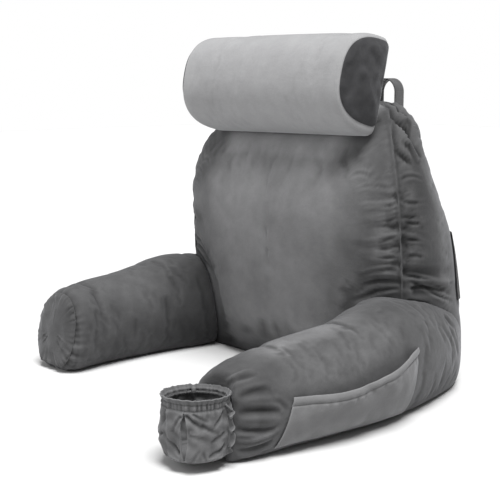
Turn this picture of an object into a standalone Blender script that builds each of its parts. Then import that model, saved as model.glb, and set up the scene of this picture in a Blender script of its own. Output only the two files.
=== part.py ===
"""Reading pillow with arms: a stuffed backrest with two arm bolsters and a neck roll.

Metres, +Z up. The origin is the middle of the backrest's flat underside. The reader
sits on the -Y side and leans back towards +Y, so +X is the reader's left.
"""
import math
from collections import namedtuple

import bmesh
import bpy
from mathutils import Vector

# ---------------------------------------------------------------- general sizes
SEAT_GAP = 0.0004          # between pieces that touch
CUT_GROWTH = 0.0005        # how far a cutter is grown past the piece it stands for
CLOTH = 0.002              # thickness of pocket, pouch and ruffle cloth
BAND = 0.0025              # thickness of the handle's webbing

# ---------------------------------------------------------------- backrest
# The seam between front panel and gusset, from the middle of the underside to the
# middle of the top. front_y and rear_y are the gusset's two edges, bulge is how far it
# puffs out between them, corner is how far the rear edge is drawn in, rounding is that
# edge's depth, front to rear, and steps is the number of columns up to the next row.
BackRow = namedtuple("BackRow", "x z front_y rear_y bulge corner rounding steps")
BACK_SEAM = [
    BackRow(0.000, 0.000, -0.088, 0.080, 0.000, 0.020, 0.030, 2),
    BackRow(0.120, 0.000, -0.088, 0.080, 0.000, 0.020, 0.030, 2),
    BackRow(0.225, 0.000, -0.088, 0.082, 0.000, 0.025, 0.032, 2),
    BackRow(0.256, 0.022, -0.089, 0.088, 0.006, 0.030, 0.045, 2),
    BackRow(0.264, 0.070, -0.091, 0.092, 0.010, 0.038, 0.075, 2),
    BackRow(0.267, 0.150, -0.095, 0.089, 0.010, 0.055, 0.095, 3),
    BackRow(0.270, 0.240, -0.103, 0.077, 0.010, 0.090, 0.095, 3),
    BackRow(0.267, 0.310, -0.107, 0.062, 0.010, 0.118, 0.095, 3),
    BackRow(0.255, 0.363, -0.102, 0.051, 0.010, 0.124, 0.095, 5),
    BackRow(0.234, 0.410, -0.088, 0.046, 0.010, 0.110, 0.095, 5),
    BackRow(0.206, 0.445, -0.063, 0.048, 0.009, 0.085, 0.095, 5),
    BackRow(0.160, 0.470, -0.023, 0.052, 0.006, 0.060, 0.095, 4),
    BackRow(0.100, 0.480, -0.009, 0.052, 0.004, 0.048, 0.095, 3),
    BackRow(0.000, 0.483, -0.006, 0.050, 0.004, 0.044, 0.095, 0),
]
FOLD_REACH = 0.095         # the folds end this far in front of the rear panel
CORNER_SHARE = 0.70        # most of the gusset's depth that the rounding may take
GUSSET_STEPS = (0.0, 0.10, 0.32, 0.65, 1.0)
CORNER_ANGLES = (25.0, 50.0, 72.0, 90.0)
PANEL_CENTRE_Z = 0.235     # where the front and rear panels' rings close
FRONT_RINGS = (0.955, 0.88, 0.76, 0.58, 0.32)
REAR_RINGS = (0.88, 0.66, 0.35)
FRONT_CROWN = 0.042
REAR_CROWN = 0.008
FRONT_FLATNESS = 3.2       # how flat the middle of a panel is
REAR_FLATNESS = 2.0
REAR_EDGE_HOLD = 4         # how soon the rear panel leaves its edge's own depth
SEAM_RIDGE = 0.0015        # how far the front seam stands proud
FOLD_START = 0.08          # share of the flat gusset over which its folds rise from the seam
FOLD_FADE = 0.85           # how much of a fold is lost along its length

# Folds in the gusset: from height z0 at depth d0 behind the front seam to z1, d1.
FoldRow = namedtuple("FoldRow", "z0 d0 z1 d1 rise half_width")
GUSSET_FOLDS = [
    FoldRow(0.474, 0.004, 0.445, 0.120, 0.0080, 0.013),
    FoldRow(0.471, 0.008, 0.426, 0.120, -0.0080, 0.012),
    FoldRow(0.467, 0.004, 0.405, 0.130, 0.0085, 0.013),
    FoldRow(0.457, 0.006, 0.392, 0.100, -0.0080, 0.013),
    FoldRow(0.447, 0.006, 0.372, 0.095, 0.0075, 0.014),
    FoldRow(0.402, 0.004, 0.376, 0.040, -0.0055, 0.014),
    FoldRow(0.262, 0.004, 0.252, 0.060, -0.0040, 0.016),
    FoldRow(0.212, 0.010, 0.198, 0.130, -0.0060, 0.016),
    FoldRow(0.182, 0.030, 0.168, 0.140, -0.0055, 0.016),
]
# Wrinkles that run inwards over the front panel from its seam at height z.
WrinkleRow = namedtuple("WrinkleRow", "z reach rise half_width")
PANEL_WRINKLES = [
    WrinkleRow(0.195, 0.075, -0.0045, 0.012),
    WrinkleRow(0.222, 0.060, -0.0040, 0.011),
    WrinkleRow(0.252, 0.085, -0.0045, 0.013),
    WrinkleRow(0.286, 0.050, -0.0035, 0.012),
    WrinkleRow(0.330, 0.045, -0.0030, 0.012),
]

# ---------------------------------------------------------------- arm bolsters
# Sections across the arm on the reader's left, rear to front; the other arm mirrors it.
# skew is how far the section swings forward per metre outwards, and square is the
# exponent of its rounded outline: 2 is an ellipse, more is boxier.
ArmRow = namedtuple("ArmRow", "y x half_width height skew square")
ARM_ROWS = [
    ArmRow(0.070, 0.235, 0.028, 0.104, 0.00, 2.6),
    ArmRow(0.060, 0.239, 0.033, 0.118, 0.00, 2.6),
    ArmRow(0.040, 0.247, 0.041, 0.131, 0.00, 2.6),
    ArmRow(0.010, 0.255, 0.050, 0.142, 0.00, 2.6),
    ArmRow(-0.018, 0.260, 0.055, 0.151, 0.00, 2.6),
    ArmRow(-0.045, 0.262, 0.063, 0.160, 0.01, 2.6),
    ArmRow(-0.085, 0.263, 0.075, 0.169, 0.02, 2.6),
    ArmRow(-0.120, 0.265, 0.082, 0.174, 0.03, 2.6),
    ArmRow(-0.155, 0.271, 0.082, 0.175, 0.04, 2.5),
    ArmRow(-0.190, 0.275, 0.081, 0.170, 0.05, 2.45),
    ArmRow(-0.225, 0.277, 0.079, 0.161, 0.06, 2.4),
    ArmRow(-0.260, 0.277, 0.077, 0.154, 0.08, 2.35),
    ArmRow(-0.300, 0.276, 0.075, 0.151, 0.09, 2.3),
    ArmRow(-0.340, 0.274, 0.074, 0.148, 0.10, 2.25),
    ArmRow(-0.368, 0.271, 0.073, 0.145, 0.10, 2.2),
]
ARM_SINK = 0.012           # how much of the outline the floor flattens
ARM_POINTS = 40
ARM_REAR_TIP = 0.004       # how far the hidden rear end is domed

# The reader's-right arm: edge rounding, then the oval end panel set into its end.
LAST_ARM_ROW = ArmRow(-0.399, 0.260, 0.067, 0.149, 0.05, 2.2)
LEFT_ARM_FILL = 1.025      # that arm is stuffed a little higher
EndRow = namedtuple("EndRow", "forward scale")
ARM_END_EDGE = [EndRow(0.014, 0.975), EndRow(0.021, 0.92), EndRow(0.024, 0.85)]
ARM_END_DOME = [EndRow(0.0275, 0.78), EndRow(0.031, 0.55), EndRow(0.0325, 0.28)]
ARM_END_TIP = 0.033
ARM_END_LEAN = 0.20        # how far the end leans back per metre of height
ARM_END_LEAN_RUN = 0.060   # length of arm over which that lean builds up
PUCKER_HEIGHT = 0.0012     # of the gathers along the end panel's edge

# The reader's-left arm: its front end narrows into the cup pouch.
NOSE_ROWS = [
    ArmRow(-0.392, 0.270, 0.071, 0.141, 0.10, 2.2),
    ArmRow(-0.412, 0.269, 0.070, 0.137, 0.09, 2.25),
    ArmRow(-0.432, 0.268, 0.068, 0.132, 0.07, 2.3),
    ArmRow(-0.450, 0.267, 0.065, 0.127, 0.04, 2.35),
    ArmRow(-0.466, 0.267, 0.061, 0.122, 0.01, 2.4),
    ArmRow(-0.480, 0.267, 0.055, 0.116, -0.02, 2.45),
    ArmRow(-0.494, 0.268, 0.046, 0.108, -0.04, 2.45),
]
NOSE_TIP = 0.004
# Pleats that fan back from the pouch, by the angle around the arm's section
# (0 outwards, 90 up) and by their length.
PleatRow = namedtuple("PleatRow", "angle length rise half_angle")
NOSE_PLEATS = [
    PleatRow(-32.0, 0.060, -0.0045, 9.0),
    PleatRow(-14.0, 0.085, -0.0060, 9.0),
    PleatRow(6.0, 0.060, -0.0050, 9.0),
    PleatRow(27.0, 0.075, -0.0060, 9.0),
    PleatRow(52.0, 0.045, -0.0045, 10.0),
    PleatRow(84.0, 0.035, -0.0030, 11.0),
    PleatRow(122.0, 0.045, -0.0045, 10.0),
    PleatRow(150.0, 0.060, -0.0050, 9.0),
    PleatRow(176.0, 0.070, -0.0050, 9.0),
]

# ---------------------------------------------------------------- neck roll
ROLL_LENGTH = 0.392
ROLL_HEIGHT = 0.164
ROLL_DEPTH = 0.105
ROLL_BACK_Y = -0.074       # middle of its flat back
ROLL_BACK_Z = 0.505
ROLL_LEAN = math.radians(12.5)
ROLL_CORNER = 0.012        # radius between flat back and wrap
ROLL_SQUARENESS = 2.6
ROLL_TAPER = 0.05          # how much fuller it is at its -X end
ROLL_CORE = 0.45           # where its ends close, as a share of the depth
ROLL_ARC_STEPS = 24
ROLL_BACK_STEPS = 6
RollRow = namedtuple("RollRow", "inward scale")
ROLL_ENDS = [RollRow(0.000, 0.90), RollRow(0.003, 0.955), RollRow(0.012, 0.99), RollRow(0.045, 1.0)]
ROLL_END_RINGS = [EndRow(0.006, 0.74), EndRow(0.010, 0.45)]
ROLL_END_TIP = 0.012
ROLL_END_INSET = 0.955     # the end panel's edge, as a share of the roll's end

# ---------------------------------------------------------------- carry handle
HANDLE_X = 0.116
HANDLE_Y = 0.036
HANDLE_WIDTH = 0.024
HANDLE_SPAN = 0.046
HANDLE_TOP = 0.520
HANDLE_FOOT = 0.455        # inside the backrest, where it is trimmed
HANDLE_BEND_STEPS = 10

# ---------------------------------------------------------------- side pocket
# Along the hem from front to rear: share of its length, height, and how far the cloth
# stands off the arm.
HemRow = namedtuple("HemRow", "along z puff")
POCKET_HEM = [
    HemRow(0.00, 0.086, 0.000),
    HemRow(0.12, 0.085, 0.006),
    HemRow(0.28, 0.084, 0.013),
    HemRow(0.45, 0.087, 0.016),
    HemRow(0.62, 0.094, 0.016),
    HemRow(0.78, 0.104, 0.012),
    HemRow(0.90, 0.112, 0.006),
    HemRow(1.00, 0.115, 0.000),
]
POCKET_FRONT = ((-0.428, 0.014), (-0.404, 0.086))   # (y, z) at bottom and hem
POCKET_REAR = ((-0.168, 0.010), (-0.152, 0.115))
POCKET_COLUMNS = 18
POCKET_ROWS = 5
POCKET_SEAT = 0.0019       # the cloth's inner face clears the arm by about this
POCKET_BELLY = 1.3         # how late the cloth swells out towards its hem

# ---------------------------------------------------------------- rear pocket
REAR_POCKET_Z = (0.146, 0.262)
REAR_POCKET_ROWS = 4
REAR_POCKET_ANGLES = (34.0, 48.0, 62.0, 76.0, 90.0)
REAR_POCKET_MIDDLE = 4     # columns between the two corners
REAR_POCKET_PUFF = 0.010
REAR_POCKET_SIDE = 0.0012
REAR_POCKET_INSIDE = Vector((0.0, -0.05, 0.2))   # a point the cloth faces away from

# ---------------------------------------------------------------- cup pouch
POUCH_X = 0.2695
POUCH_Y = -0.5205
PouchRow = namedtuple("PouchRow", "radius z gather")
POUCH_ROWS = [
    PouchRow(0.0380, 0.0140, 0.20),
    PouchRow(0.0450, 0.0185, 0.60),
    PouchRow(0.0485, 0.0320, 1.00),
    PouchRow(0.0495, 0.0500, 0.90),
    PouchRow(0.0492, 0.0700, 0.90),
    PouchRow(0.0488, 0.0835, 1.00),
    PouchRow(0.0465, 0.0895, 0.35),
    PouchRow(0.0470, 0.0970, 0.30),
    PouchRow(0.0515, 0.1035, 0.60),
]
POUCH_MIDDLE = POUCH_ROWS[3]
POUCH_COLUMNS = 48
POUCH_BASE_RING = 0.022
POUCH_BASE_Z = 0.0135      # the pouch hangs from the arm, just clear of the floor
RIM_DROP = 0.0065          # the rim sags this much, most at this angle
RIM_DROP_ANGLE = 135.0
RIM_DROP_Z = (0.0835, 0.1035)
POUCH_CUT_Z = (-0.010, 0.200)   # reach of the full body that trims the arm
# Gathers around the pouch: angle, depth and half-width in degrees.
GatherRow = namedtuple("GatherRow", "angle rise half_angle")
POUCH_GATHERS = [
    GatherRow(8.0, -0.0026, 9.0),
    GatherRow(-18.0, -0.0022, 9.0),
    GatherRow(-41.0, -0.0020, 8.0),
    GatherRow(-74.0, -0.0028, 9.0),
    GatherRow(-97.0, -0.0032, 9.0),
    GatherRow(-122.0, -0.0030, 9.0),
    GatherRow(-150.0, -0.0026, 9.0),
    GatherRow(-176.0, -0.0024, 9.0),
]
SLIT_ANGLE = -58.0
SLIT_HALF_WIDTH = 0.0055
SLIT_ROWS = (1, 5)         # pouch rows between which the wall is slit

# Ruffled joining edge, on each side where the pouch meets the arm.
RUFFLE_ANGLES = (22.0, 158.0)
RUFFLE_Z = (0.021, 0.092)
RUFFLE_SEAT = 0.0009       # from the pouch's nominal wall
RUFFLE_WIDTH = 0.0080
RUFFLE_WAVE = 0.0028
RUFFLE_WAVES = 4.5
RUFFLE_STEPS = 18

# ---------------------------------------------------------------- colours
VELOUR = (0.155, 0.155, 0.158, 1.0)
LIGHT_VELOUR = (0.330, 0.330, 0.335, 1.0)
DARK_VELOUR = (0.085, 0.085, 0.088, 1.0)
BLACK_MESH = (0.020, 0.020, 0.021, 1.0)


# ================================================================ scene helpers
def clear_scene():
    for thing in list(bpy.data.objects):
        bpy.data.objects.remove(thing, do_unlink=True)


def new_collection(name):
    collection = bpy.data.collections.new(name)
    bpy.context.scene.collection.children.link(collection)
    return collection


def fabric(name, colour, roughness):
    material = bpy.data.materials.new(name)
    material.use_nodes = True
    shader = material.node_tree.nodes["Principled BSDF"]
    shader.inputs["Base Color"].default_value = colour
    shader.inputs["Roughness"].default_value = roughness
    shader.inputs["Metallic"].default_value = 0.0
    return material


def add_object(name, mesh, collection, material):
    thing = bpy.data.objects.new(name, mesh)
    collection.objects.link(thing)
    mesh.materials.append(material)
    for polygon in mesh.polygons:
        polygon.use_smooth = True
    return thing


def loft(name, rings, tips, collection, material):
    """A closed skin over rings of equal length, closed to one point at either end."""
    shape = bmesh.new()
    loops = [[shape.verts.new(point) for point in ring] for ring in rings]
    count = len(rings[0])
    for low, high in zip(loops, loops[1:]):
        for i in range(count):
            j = (i + 1) % count
            shape.faces.new((low[i], low[j], high[j], high[i]))
    for loop, tip in zip((loops[0], loops[-1]), tips):
        apex = shape.verts.new(tip)
        for i in range(count):
            shape.faces.new((loop[i], loop[(i + 1) % count], apex))
    bmesh.ops.recalc_face_normals(shape, faces=shape.faces)
    bmesh.ops.triangulate(shape, faces=shape.faces, quad_method="SHORT_EDGE")
    mesh = bpy.data.meshes.new(name)
    shape.to_mesh(mesh)
    shape.free()
    return add_object(name, mesh, collection, material)


def sheet(name, grid, thickness, outwards, collection, material):
    """A grid of points given a thickness on the side that outwards(centre) points to."""
    shape = bmesh.new()
    rows = [[shape.verts.new(point) for point in row] for row in grid]
    for low, high in zip(rows, rows[1:]):
        for i in range(len(low) - 1):
            shape.faces.new((low[i], low[i + 1], high[i + 1], high[i]))
    shape.normal_update()
    score = sum(face.normal.dot(outwards(face.calc_center_median())) for face in shape.faces)
    if score < 0:
        bmesh.ops.reverse_faces(shape, faces=shape.faces)
    mesh = bpy.data.meshes.new(name)
    shape.to_mesh(mesh)
    shape.free()
    thing = add_object(name, mesh, collection, material)
    thicken(thing, thickness, 1.0)
    return thing


def thicken(thing, thickness, offset):
    solidify = thing.modifiers.new("Thickness", "SOLIDIFY")
    solidify.thickness = thickness
    solidify.offset = offset
    solidify.use_even_offset = True


def grown_copy(thing, growth, cutters):
    """A hidden copy of a piece, a little larger, for trimming its neighbours."""
    copy = bpy.data.objects.new(thing.name + "_cutter", thing.data.copy())
    cutters.objects.link(copy)
    grow = copy.modifiers.new("Grow", "DISPLACE")
    grow.mid_level = 0.0
    grow.strength = growth
    grow.direction = "NORMAL"
    copy.hide_render = True
    copy.display_type = "WIRE"
    return copy


def trim(thing, cutter):
    cut = thing.modifiers.new("Trim_" + cutter.name, "BOOLEAN")
    cut.operation = "DIFFERENCE"
    cut.solver = "EXACT"
    cut.object = cutter


def face_towards(shape, direction):
    """Turns an open skin over if its faces look away from a direction."""
    shape.normal_update()
    if sum(face.normal.dot(direction) * face.calc_area() for face in shape.faces) < 0:
        bmesh.ops.reverse_faces(shape, faces=shape.faces)


def domed_sheet(name, rings, tip, direction, collection, material):
    """A cloth cap over rings that shrink towards one point, facing a direction."""
    shape = bmesh.new()
    loops = [[shape.verts.new(point) for point in ring] for ring in rings]
    count = len(rings[0])
    for outer, inner in zip(loops, loops[1:]):
        for i in range(count):
            j = (i + 1) % count
            shape.faces.new((outer[i], outer[j], inner[j], inner[i]))
    apex = shape.verts.new(tip)
    for i in range(count):
        shape.faces.new((loops[-1][i], loops[-1][(i + 1) % count], apex))
    bmesh.ops.recalc_face_normals(shape, faces=shape.faces)
    face_towards(shape, direction)
    mesh = bpy.data.meshes.new(name)
    shape.to_mesh(mesh)
    shape.free()
    thing = add_object(name, mesh, collection, material)
    thicken(thing, CLOTH, 1.0)
    return thing


# ================================================================ number helpers
def hermite(before, start, end, after, t):
    """Catmull-Rom value between start and end."""
    pull_start = (end - before) / 2
    pull_end = (after - start) / 2
    t2 = t * t
    t3 = t2 * t
    return ((2 * t3 - 3 * t2 + 1) * start + (t3 - 2 * t2 + t) * pull_start
            + (3 * t2 - 2 * t3) * end + (t3 - t2) * pull_end)


def table_value(rows, key, value, at):
    """The value column at a place in the key column, linear between the rows."""
    pairs = sorted((getattr(row, key), getattr(row, value)) for row in rows)
    if at <= pairs[0][0]:
        return pairs[0][1]
    for (k0, v0), (k1, v1) in zip(pairs, pairs[1:]):
        if at <= k1:
            return v0 + (v1 - v0) * (at - k0) / max(k1 - k0, 1e-9)
    return pairs[-1][1]


def bump(distance, half_width):
    """1 on a fold's line, falling smoothly to 0 at its half-width."""
    if distance >= half_width:
        return 0.0
    return 0.5 + 0.5 * math.cos(math.pi * distance / half_width)


def signed_power(value, power):
    return math.copysign(abs(value) ** power, value)


def segment_distance(point, start, end):
    """Distance from a 2D point to a segment, and the share of the way along it."""
    run = end - start
    share = max(0.0, min(1.0, (point - start).dot(run) / max(run.length_squared, 1e-12)))
    return (point - (start + run * share)).length, share


# ================================================================ backrest
SeamPoint = namedtuple("SeamPoint", "x z front_y rear_y bulge corner rounding nx nz run")


def half_seam():
    """The seam table, filled in with smooth points, outward normals and its running length."""
    filled = []
    for k in range(len(BACK_SEAM) - 1):
        near = [BACK_SEAM[max(0, k - 1)], BACK_SEAM[k], BACK_SEAM[k + 1]]
        near.append(BACK_SEAM[min(len(BACK_SEAM) - 1, k + 2)])
        for step in range(BACK_SEAM[k].steps):
            t = step / BACK_SEAM[k].steps
            filled.append([hermite(*(row[c] for row in near), t) for c in range(7)])
    filled.append(list(BACK_SEAM[-1][:7]))
    points = []
    run = 0.0
    for i, here in enumerate(filled):
        before = filled[i - 1] if i else [-filled[1][0]] + filled[1][1:]
        after = filled[i + 1] if i + 1 < len(filled) else [-before[0]] + before[1:]
        along = Vector((after[0] - before[0], after[1] - before[1])).normalized()
        if i:
            run += math.hypot(here[0] - before[0], here[1] - before[1])
        x, z, front_y, rear_y, bulge, corner, rounding = here
        points.append(SeamPoint(x, max(z, 0.0), front_y, rear_y, bulge, corner, rounding,
                                along.y, -along.x, run))
    return points


HALF_SEAM = half_seam()
FIRST_SIDE_POINT = BACK_SEAM[0].steps + BACK_SEAM[1].steps
WHOLE_SEAM = [(point, 1) for point in HALF_SEAM]
WHOLE_SEAM += [(point, -1) for point in reversed(HALF_SEAM[1:-1])]


def gusset_point(point, side, station, lift=0.0):
    """A point of the gusset. Stations 0..1 cross its flat part, 1..2 round the rear edge."""
    depth = point.rear_y - point.front_y
    corner_depth = min(point.rounding, CORNER_SHARE * depth)
    corner_y = point.rear_y - corner_depth
    if station <= 1.0:
        y = point.front_y + (corner_y - point.front_y) * station
        out = point.bulge * (1 - (1 - station) ** 3)
        out_share = 1.0
        rear_share = 0.0
    else:
        angle = (station - 1.0) * math.pi / 2
        y = corner_y + corner_depth * math.sin(angle)
        out = point.bulge - point.corner * (1 - math.cos(angle))
        out_share = math.cos(angle)
        rear_share = math.sin(angle)
    out += lift * out_share
    x = point.x + point.nx * out
    z = max(0.0, point.z + point.nz * out)
    return Vector((side * x, y + lift * rear_share, z))


def run_at_height(z):
    """Running length of the seam where its side reaches height z."""
    for low, high in zip(HALF_SEAM, HALF_SEAM[1:]):
        if low.z <= z <= high.z and high.z > low.z:
            return low.run + (high.run - low.run) * (z - low.z) / (high.z - low.z)
    return HALF_SEAM[-1].run


def gusset_lift(point, depth):
    """Height of all the gusset's folds at a place."""
    place = Vector((point.run, depth))
    lift = 0.0
    for fold in GUSSET_FOLDS:
        start = Vector((run_at_height(fold.z0), fold.d0))
        end = Vector((run_at_height(fold.z1), fold.d1))
        away, share = segment_distance(place, start, end)
        fade = 1.0 - FOLD_FADE * share
        lift += fold.rise * fade * bump(away, fold.half_width)
    return lift


def seam_side_value(column, z):
    """A column of the seam, such as front_y, at height z on the side of the backrest."""
    sides = HALF_SEAM[FIRST_SIDE_POINT:]
    if z <= sides[0].z:
        return getattr(sides[0], column)
    for low, high in zip(sides, sides[1:]):
        if low.z <= z <= high.z and high.z > low.z:
            start = getattr(low, column)
            return start + (getattr(high, column) - start) * (z - low.z) / (high.z - low.z)
    return getattr(sides[-1], column)


def edge_width(edge, z):
    """Half-width at height z of an outline given by the points of one side."""
    for low, high in zip(edge, edge[1:]):
        if low.z <= z <= high.z and high.z > low.z:
            return low.x + (high.x - low.x) * (z - low.z) / (high.z - low.z)
    return edge[-1].x


def crown(edge, x, z, flatness):
    """Share of a panel's swell at a place: 1 in the middle and 0 along its edge."""
    across = min(1.0, abs(x) / max(edge_width(edge, z), abs(x), 1e-6))
    reach = edge[-1].z - PANEL_CENTRE_Z if z > PANEL_CENTRE_Z else PANEL_CENTRE_Z - edge[0].z
    up = min(1.0, abs(z - PANEL_CENTRE_Z) / reach)
    return (1 - across ** flatness) * (1 - up ** flatness)


FRONT_EDGE = HALF_SEAM[FIRST_SIDE_POINT:]
REAR_EDGE = [gusset_point(point, 1, 2.0) for point in FRONT_EDGE]


def front_panel_point(point, side, ring):
    """A point of the crowned front panel, ring 1 at the seam and 0 in the middle."""
    x = point.x * ring
    z = PANEL_CENTRE_Z + (point.z - PANEL_CENTRE_Z) * ring
    y = seam_side_value("front_y", z) - FRONT_CROWN * crown(FRONT_EDGE, x, z, FRONT_FLATNESS)
    inwards = point.x - x
    for wrinkle in PANEL_WRINKLES:
        fade = max(0.0, 1 - inwards / wrinkle.reach)
        y -= wrinkle.rise * fade * bump(abs(z - wrinkle.z), wrinkle.half_width)
    return Vector((side * x, y, z))


def rear_panel_point(point, side, ring):
    edge = gusset_point(point, side, 2.0)
    place = Vector((0.0, edge.y, PANEL_CENTRE_Z)).lerp(edge, ring)
    middle_y = seam_side_value("rear_y", place.z)
    place.y = middle_y + (edge.y - middle_y) * ring ** REAR_EDGE_HOLD
    place.y += REAR_CROWN * crown(REAR_EDGE, place.x, place.z, REAR_FLATNESS)
    return place


def build_back(collection, material):
    rings = []
    for ring in reversed(FRONT_RINGS):
        rings.append([front_panel_point(point, side, ring) for point, side in WHOLE_SEAM])
    for station in GUSSET_STEPS:
        ring = []
        for point, side in WHOLE_SEAM:
            depth = (point.rear_y - point.front_y - FOLD_REACH) * station
            lift = gusset_lift(point, depth) * min(1.0, station / FOLD_START)
            if station == 0.0 and point.bulge > 0:
                lift = SEAM_RIDGE
            ring.append(gusset_point(point, side, station, lift))
        rings.append(ring)
    for angle in CORNER_ANGLES:
        ring = []
        for point, side in WHOLE_SEAM:
            start = point.rear_y - point.front_y - FOLD_REACH
            depth = start + FOLD_REACH * math.radians(angle)
            ring.append(gusset_point(point, side, 1.0 + angle / 90.0, gusset_lift(point, depth)))
        rings.append(ring)
    for ring in REAR_RINGS:
        rings.append([rear_panel_point(point, side, ring) for point, side in WHOLE_SEAM])
    front_tip = front_panel_point(HALF_SEAM[0], 1, 0.0)
    rear_tip = rear_panel_point(HALF_SEAM[0], 1, 0.0)
    return loft("back_cushion", rings, (front_tip, rear_tip), collection, material)


# ================================================================ arms
def section_point(row, side, degrees, scale=1.0, forward=0.0):
    """A point of an arm's section. 0 degrees is outwards and 90 is up."""
    angle = math.radians(degrees)
    power = 2.0 / row.square
    half_height = (row.height + ARM_SINK) / 2
    middle = row.height / 2
    out = row.half_width * signed_power(math.cos(angle), power)
    rise = row.height - half_height + half_height * signed_power(math.sin(angle), power)
    rise = max(0.0, rise)
    out *= scale
    rise = middle + (rise - middle) * scale
    return Vector((side * (row.x + out), row.y - forward - row.skew * out, rise))


def arm_ring(row, side, scale=1.0, forward=0.0):
    angles = [360.0 * k / ARM_POINTS for k in range(ARM_POINTS)]
    return [section_point(row, side, angle, scale, forward) for angle in angles]


def lean_end(point):
    """Swings the front of the plain arm's end back towards its top."""
    reach = (LAST_ARM_ROW.y + ARM_END_LEAN_RUN - point.y) / ARM_END_LEAN_RUN
    share = max(0.0, min(1.0, reach))
    lift = point.z - LAST_ARM_ROW.height / 2
    return Vector((point.x, point.y + ARM_END_LEAN * lift * share, point.z))


def pleat_ring(row, side):
    """A section of the narrowing end, with its pleats pressed in."""
    ring = []
    for k in range(ARM_POINTS):
        degrees = 360.0 * k / ARM_POINTS
        place = section_point(row, side, degrees)
        middle = Vector((side * row.x, place.y, row.height / 2))
        outwards = (place - middle).normalized()
        behind = row.y - NOSE_ROWS[-1].y
        for pleat in NOSE_PLEATS:
            swing = abs((degrees - pleat.angle + 180.0) % 360.0 - 180.0)
            fade = max(0.0, 1 - behind / pleat.length)
            place += outwards * pleat.rise * math.sqrt(fade) * bump(swing, pleat.half_angle)
        place.z = max(0.0, place.z)
        ring.append(place)
    return ring


def build_left_arm(collection, material):
    rows = [row._replace(height=row.height * LEFT_ARM_FILL) for row in ARM_ROWS]
    rings = [arm_ring(row, -1) for row in rows + [LAST_ARM_ROW]]
    for edge in ARM_END_EDGE + ARM_END_DOME:
        rings.append(arm_ring(LAST_ARM_ROW, -1, edge.scale, edge.forward))
    rings = [[lean_end(point) for point in ring] for ring in rings]
    rear = ARM_ROWS[0]
    rear_tip = Vector((-rear.x, rear.y + ARM_REAR_TIP, rear.height / 2))
    front_tip = Vector((-LAST_ARM_ROW.x, LAST_ARM_ROW.y - ARM_END_TIP, LAST_ARM_ROW.height / 2))
    return loft("arm_left", rings, (rear_tip, front_tip), collection, material)


def build_right_arm(collection, material):
    rings = [arm_ring(row, 1) for row in ARM_ROWS[:-1]]
    rings += [pleat_ring(row, 1) for row in ARM_ROWS[-1:] + NOSE_ROWS]
    rear = ARM_ROWS[0]
    front = NOSE_ROWS[-1]
    rear_tip = Vector((rear.x, rear.y + ARM_REAR_TIP, rear.height / 2))
    front_tip = Vector((front.x, front.y - NOSE_TIP, front.height / 2))
    return loft("arm_right", rings, (rear_tip, front_tip), collection, material)


def build_end_panel(collection, material):
    """The oval panel over the end of the reader's-right arm, puckered along its edge."""
    rings = []
    for edge in ARM_END_EDGE[-1:] + ARM_END_DOME:
        ring = arm_ring(LAST_ARM_ROW, -1, edge.scale, edge.forward + SEAT_GAP)
        ring = [lean_end(point) for point in ring]
        if edge.scale > ARM_END_DOME[1].scale:
            pucker = Vector((0.0, -PUCKER_HEIGHT * edge.scale, 0.0))
            ring = [point + pucker * (k % 2) for k, point in enumerate(ring)]
        rings.append(ring)
    middle = Vector((-LAST_ARM_ROW.x, LAST_ARM_ROW.y - ARM_END_TIP - SEAT_GAP,
                     LAST_ARM_ROW.height / 2))
    front = Vector((0, -1, 0))
    return domed_sheet("arm_left_end_panel", rings, middle, front, collection, material)


# ================================================================ neck roll
def roll_outline():
    """Section of the roll as (forward, up) from the middle of its flat back."""
    half = ROLL_HEIGHT / 2
    power = 2.0 / ROLL_SQUARENESS
    points = []
    for k in range(ROLL_ARC_STEPS + 1):
        angle = -math.pi / 2 + math.pi * k / ROLL_ARC_STEPS
        forward = ROLL_CORNER + (ROLL_DEPTH - ROLL_CORNER) * signed_power(math.cos(angle), power)
        points.append((forward, half * signed_power(math.sin(angle), power)))
    corner = half - ROLL_CORNER
    swing = math.pi / 4
    points.append((ROLL_CORNER * (1 - math.sin(swing)), corner + ROLL_CORNER * math.cos(swing)))
    for k in range(ROLL_BACK_STEPS + 1):
        points.append((0.0, corner - 2 * corner * k / ROLL_BACK_STEPS))
    points.append((ROLL_CORNER * (1 - math.sin(swing)), -corner - ROLL_CORNER * math.cos(swing)))
    return points


def roll_ring(x, scale):
    """The outline at x, shrunk towards the roll's core and leaned back."""
    core = ROLL_DEPTH * ROLL_CORE
    scale *= 1.0 + ROLL_TAPER * (0.5 - x / ROLL_LENGTH)
    ring = []
    for forward, up in roll_outline():
        f = core + (forward - core) * scale
        u = up * scale
        y = ROLL_BACK_Y - f * math.cos(ROLL_LEAN) + u * math.sin(ROLL_LEAN)
        z = ROLL_BACK_Z + u * math.cos(ROLL_LEAN) + f * math.sin(ROLL_LEAN)
        ring.append(Vector((x, y, z)))
    return ring


def roll_core(x):
    core = ROLL_DEPTH * ROLL_CORE
    return Vector((x, ROLL_BACK_Y - core * math.cos(ROLL_LEAN),
                   ROLL_BACK_Z + core * math.sin(ROLL_LEAN)))


def build_roll(collection, material):
    half = ROLL_LENGTH / 2
    rings = []
    for side in (-1, 1):
        part = [roll_ring(side * (half + ring.forward), ring.scale * ROLL_END_INSET)
                for ring in reversed(ROLL_END_RINGS)]
        part += [roll_ring(side * (half - row.inward), row.scale) for row in ROLL_ENDS]
        rings += part if side < 0 else part[::-1]
    tips = (roll_core(-half - ROLL_END_TIP), roll_core(half + ROLL_END_TIP))
    return loft("neck_roll", rings, tips, collection, material)


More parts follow.
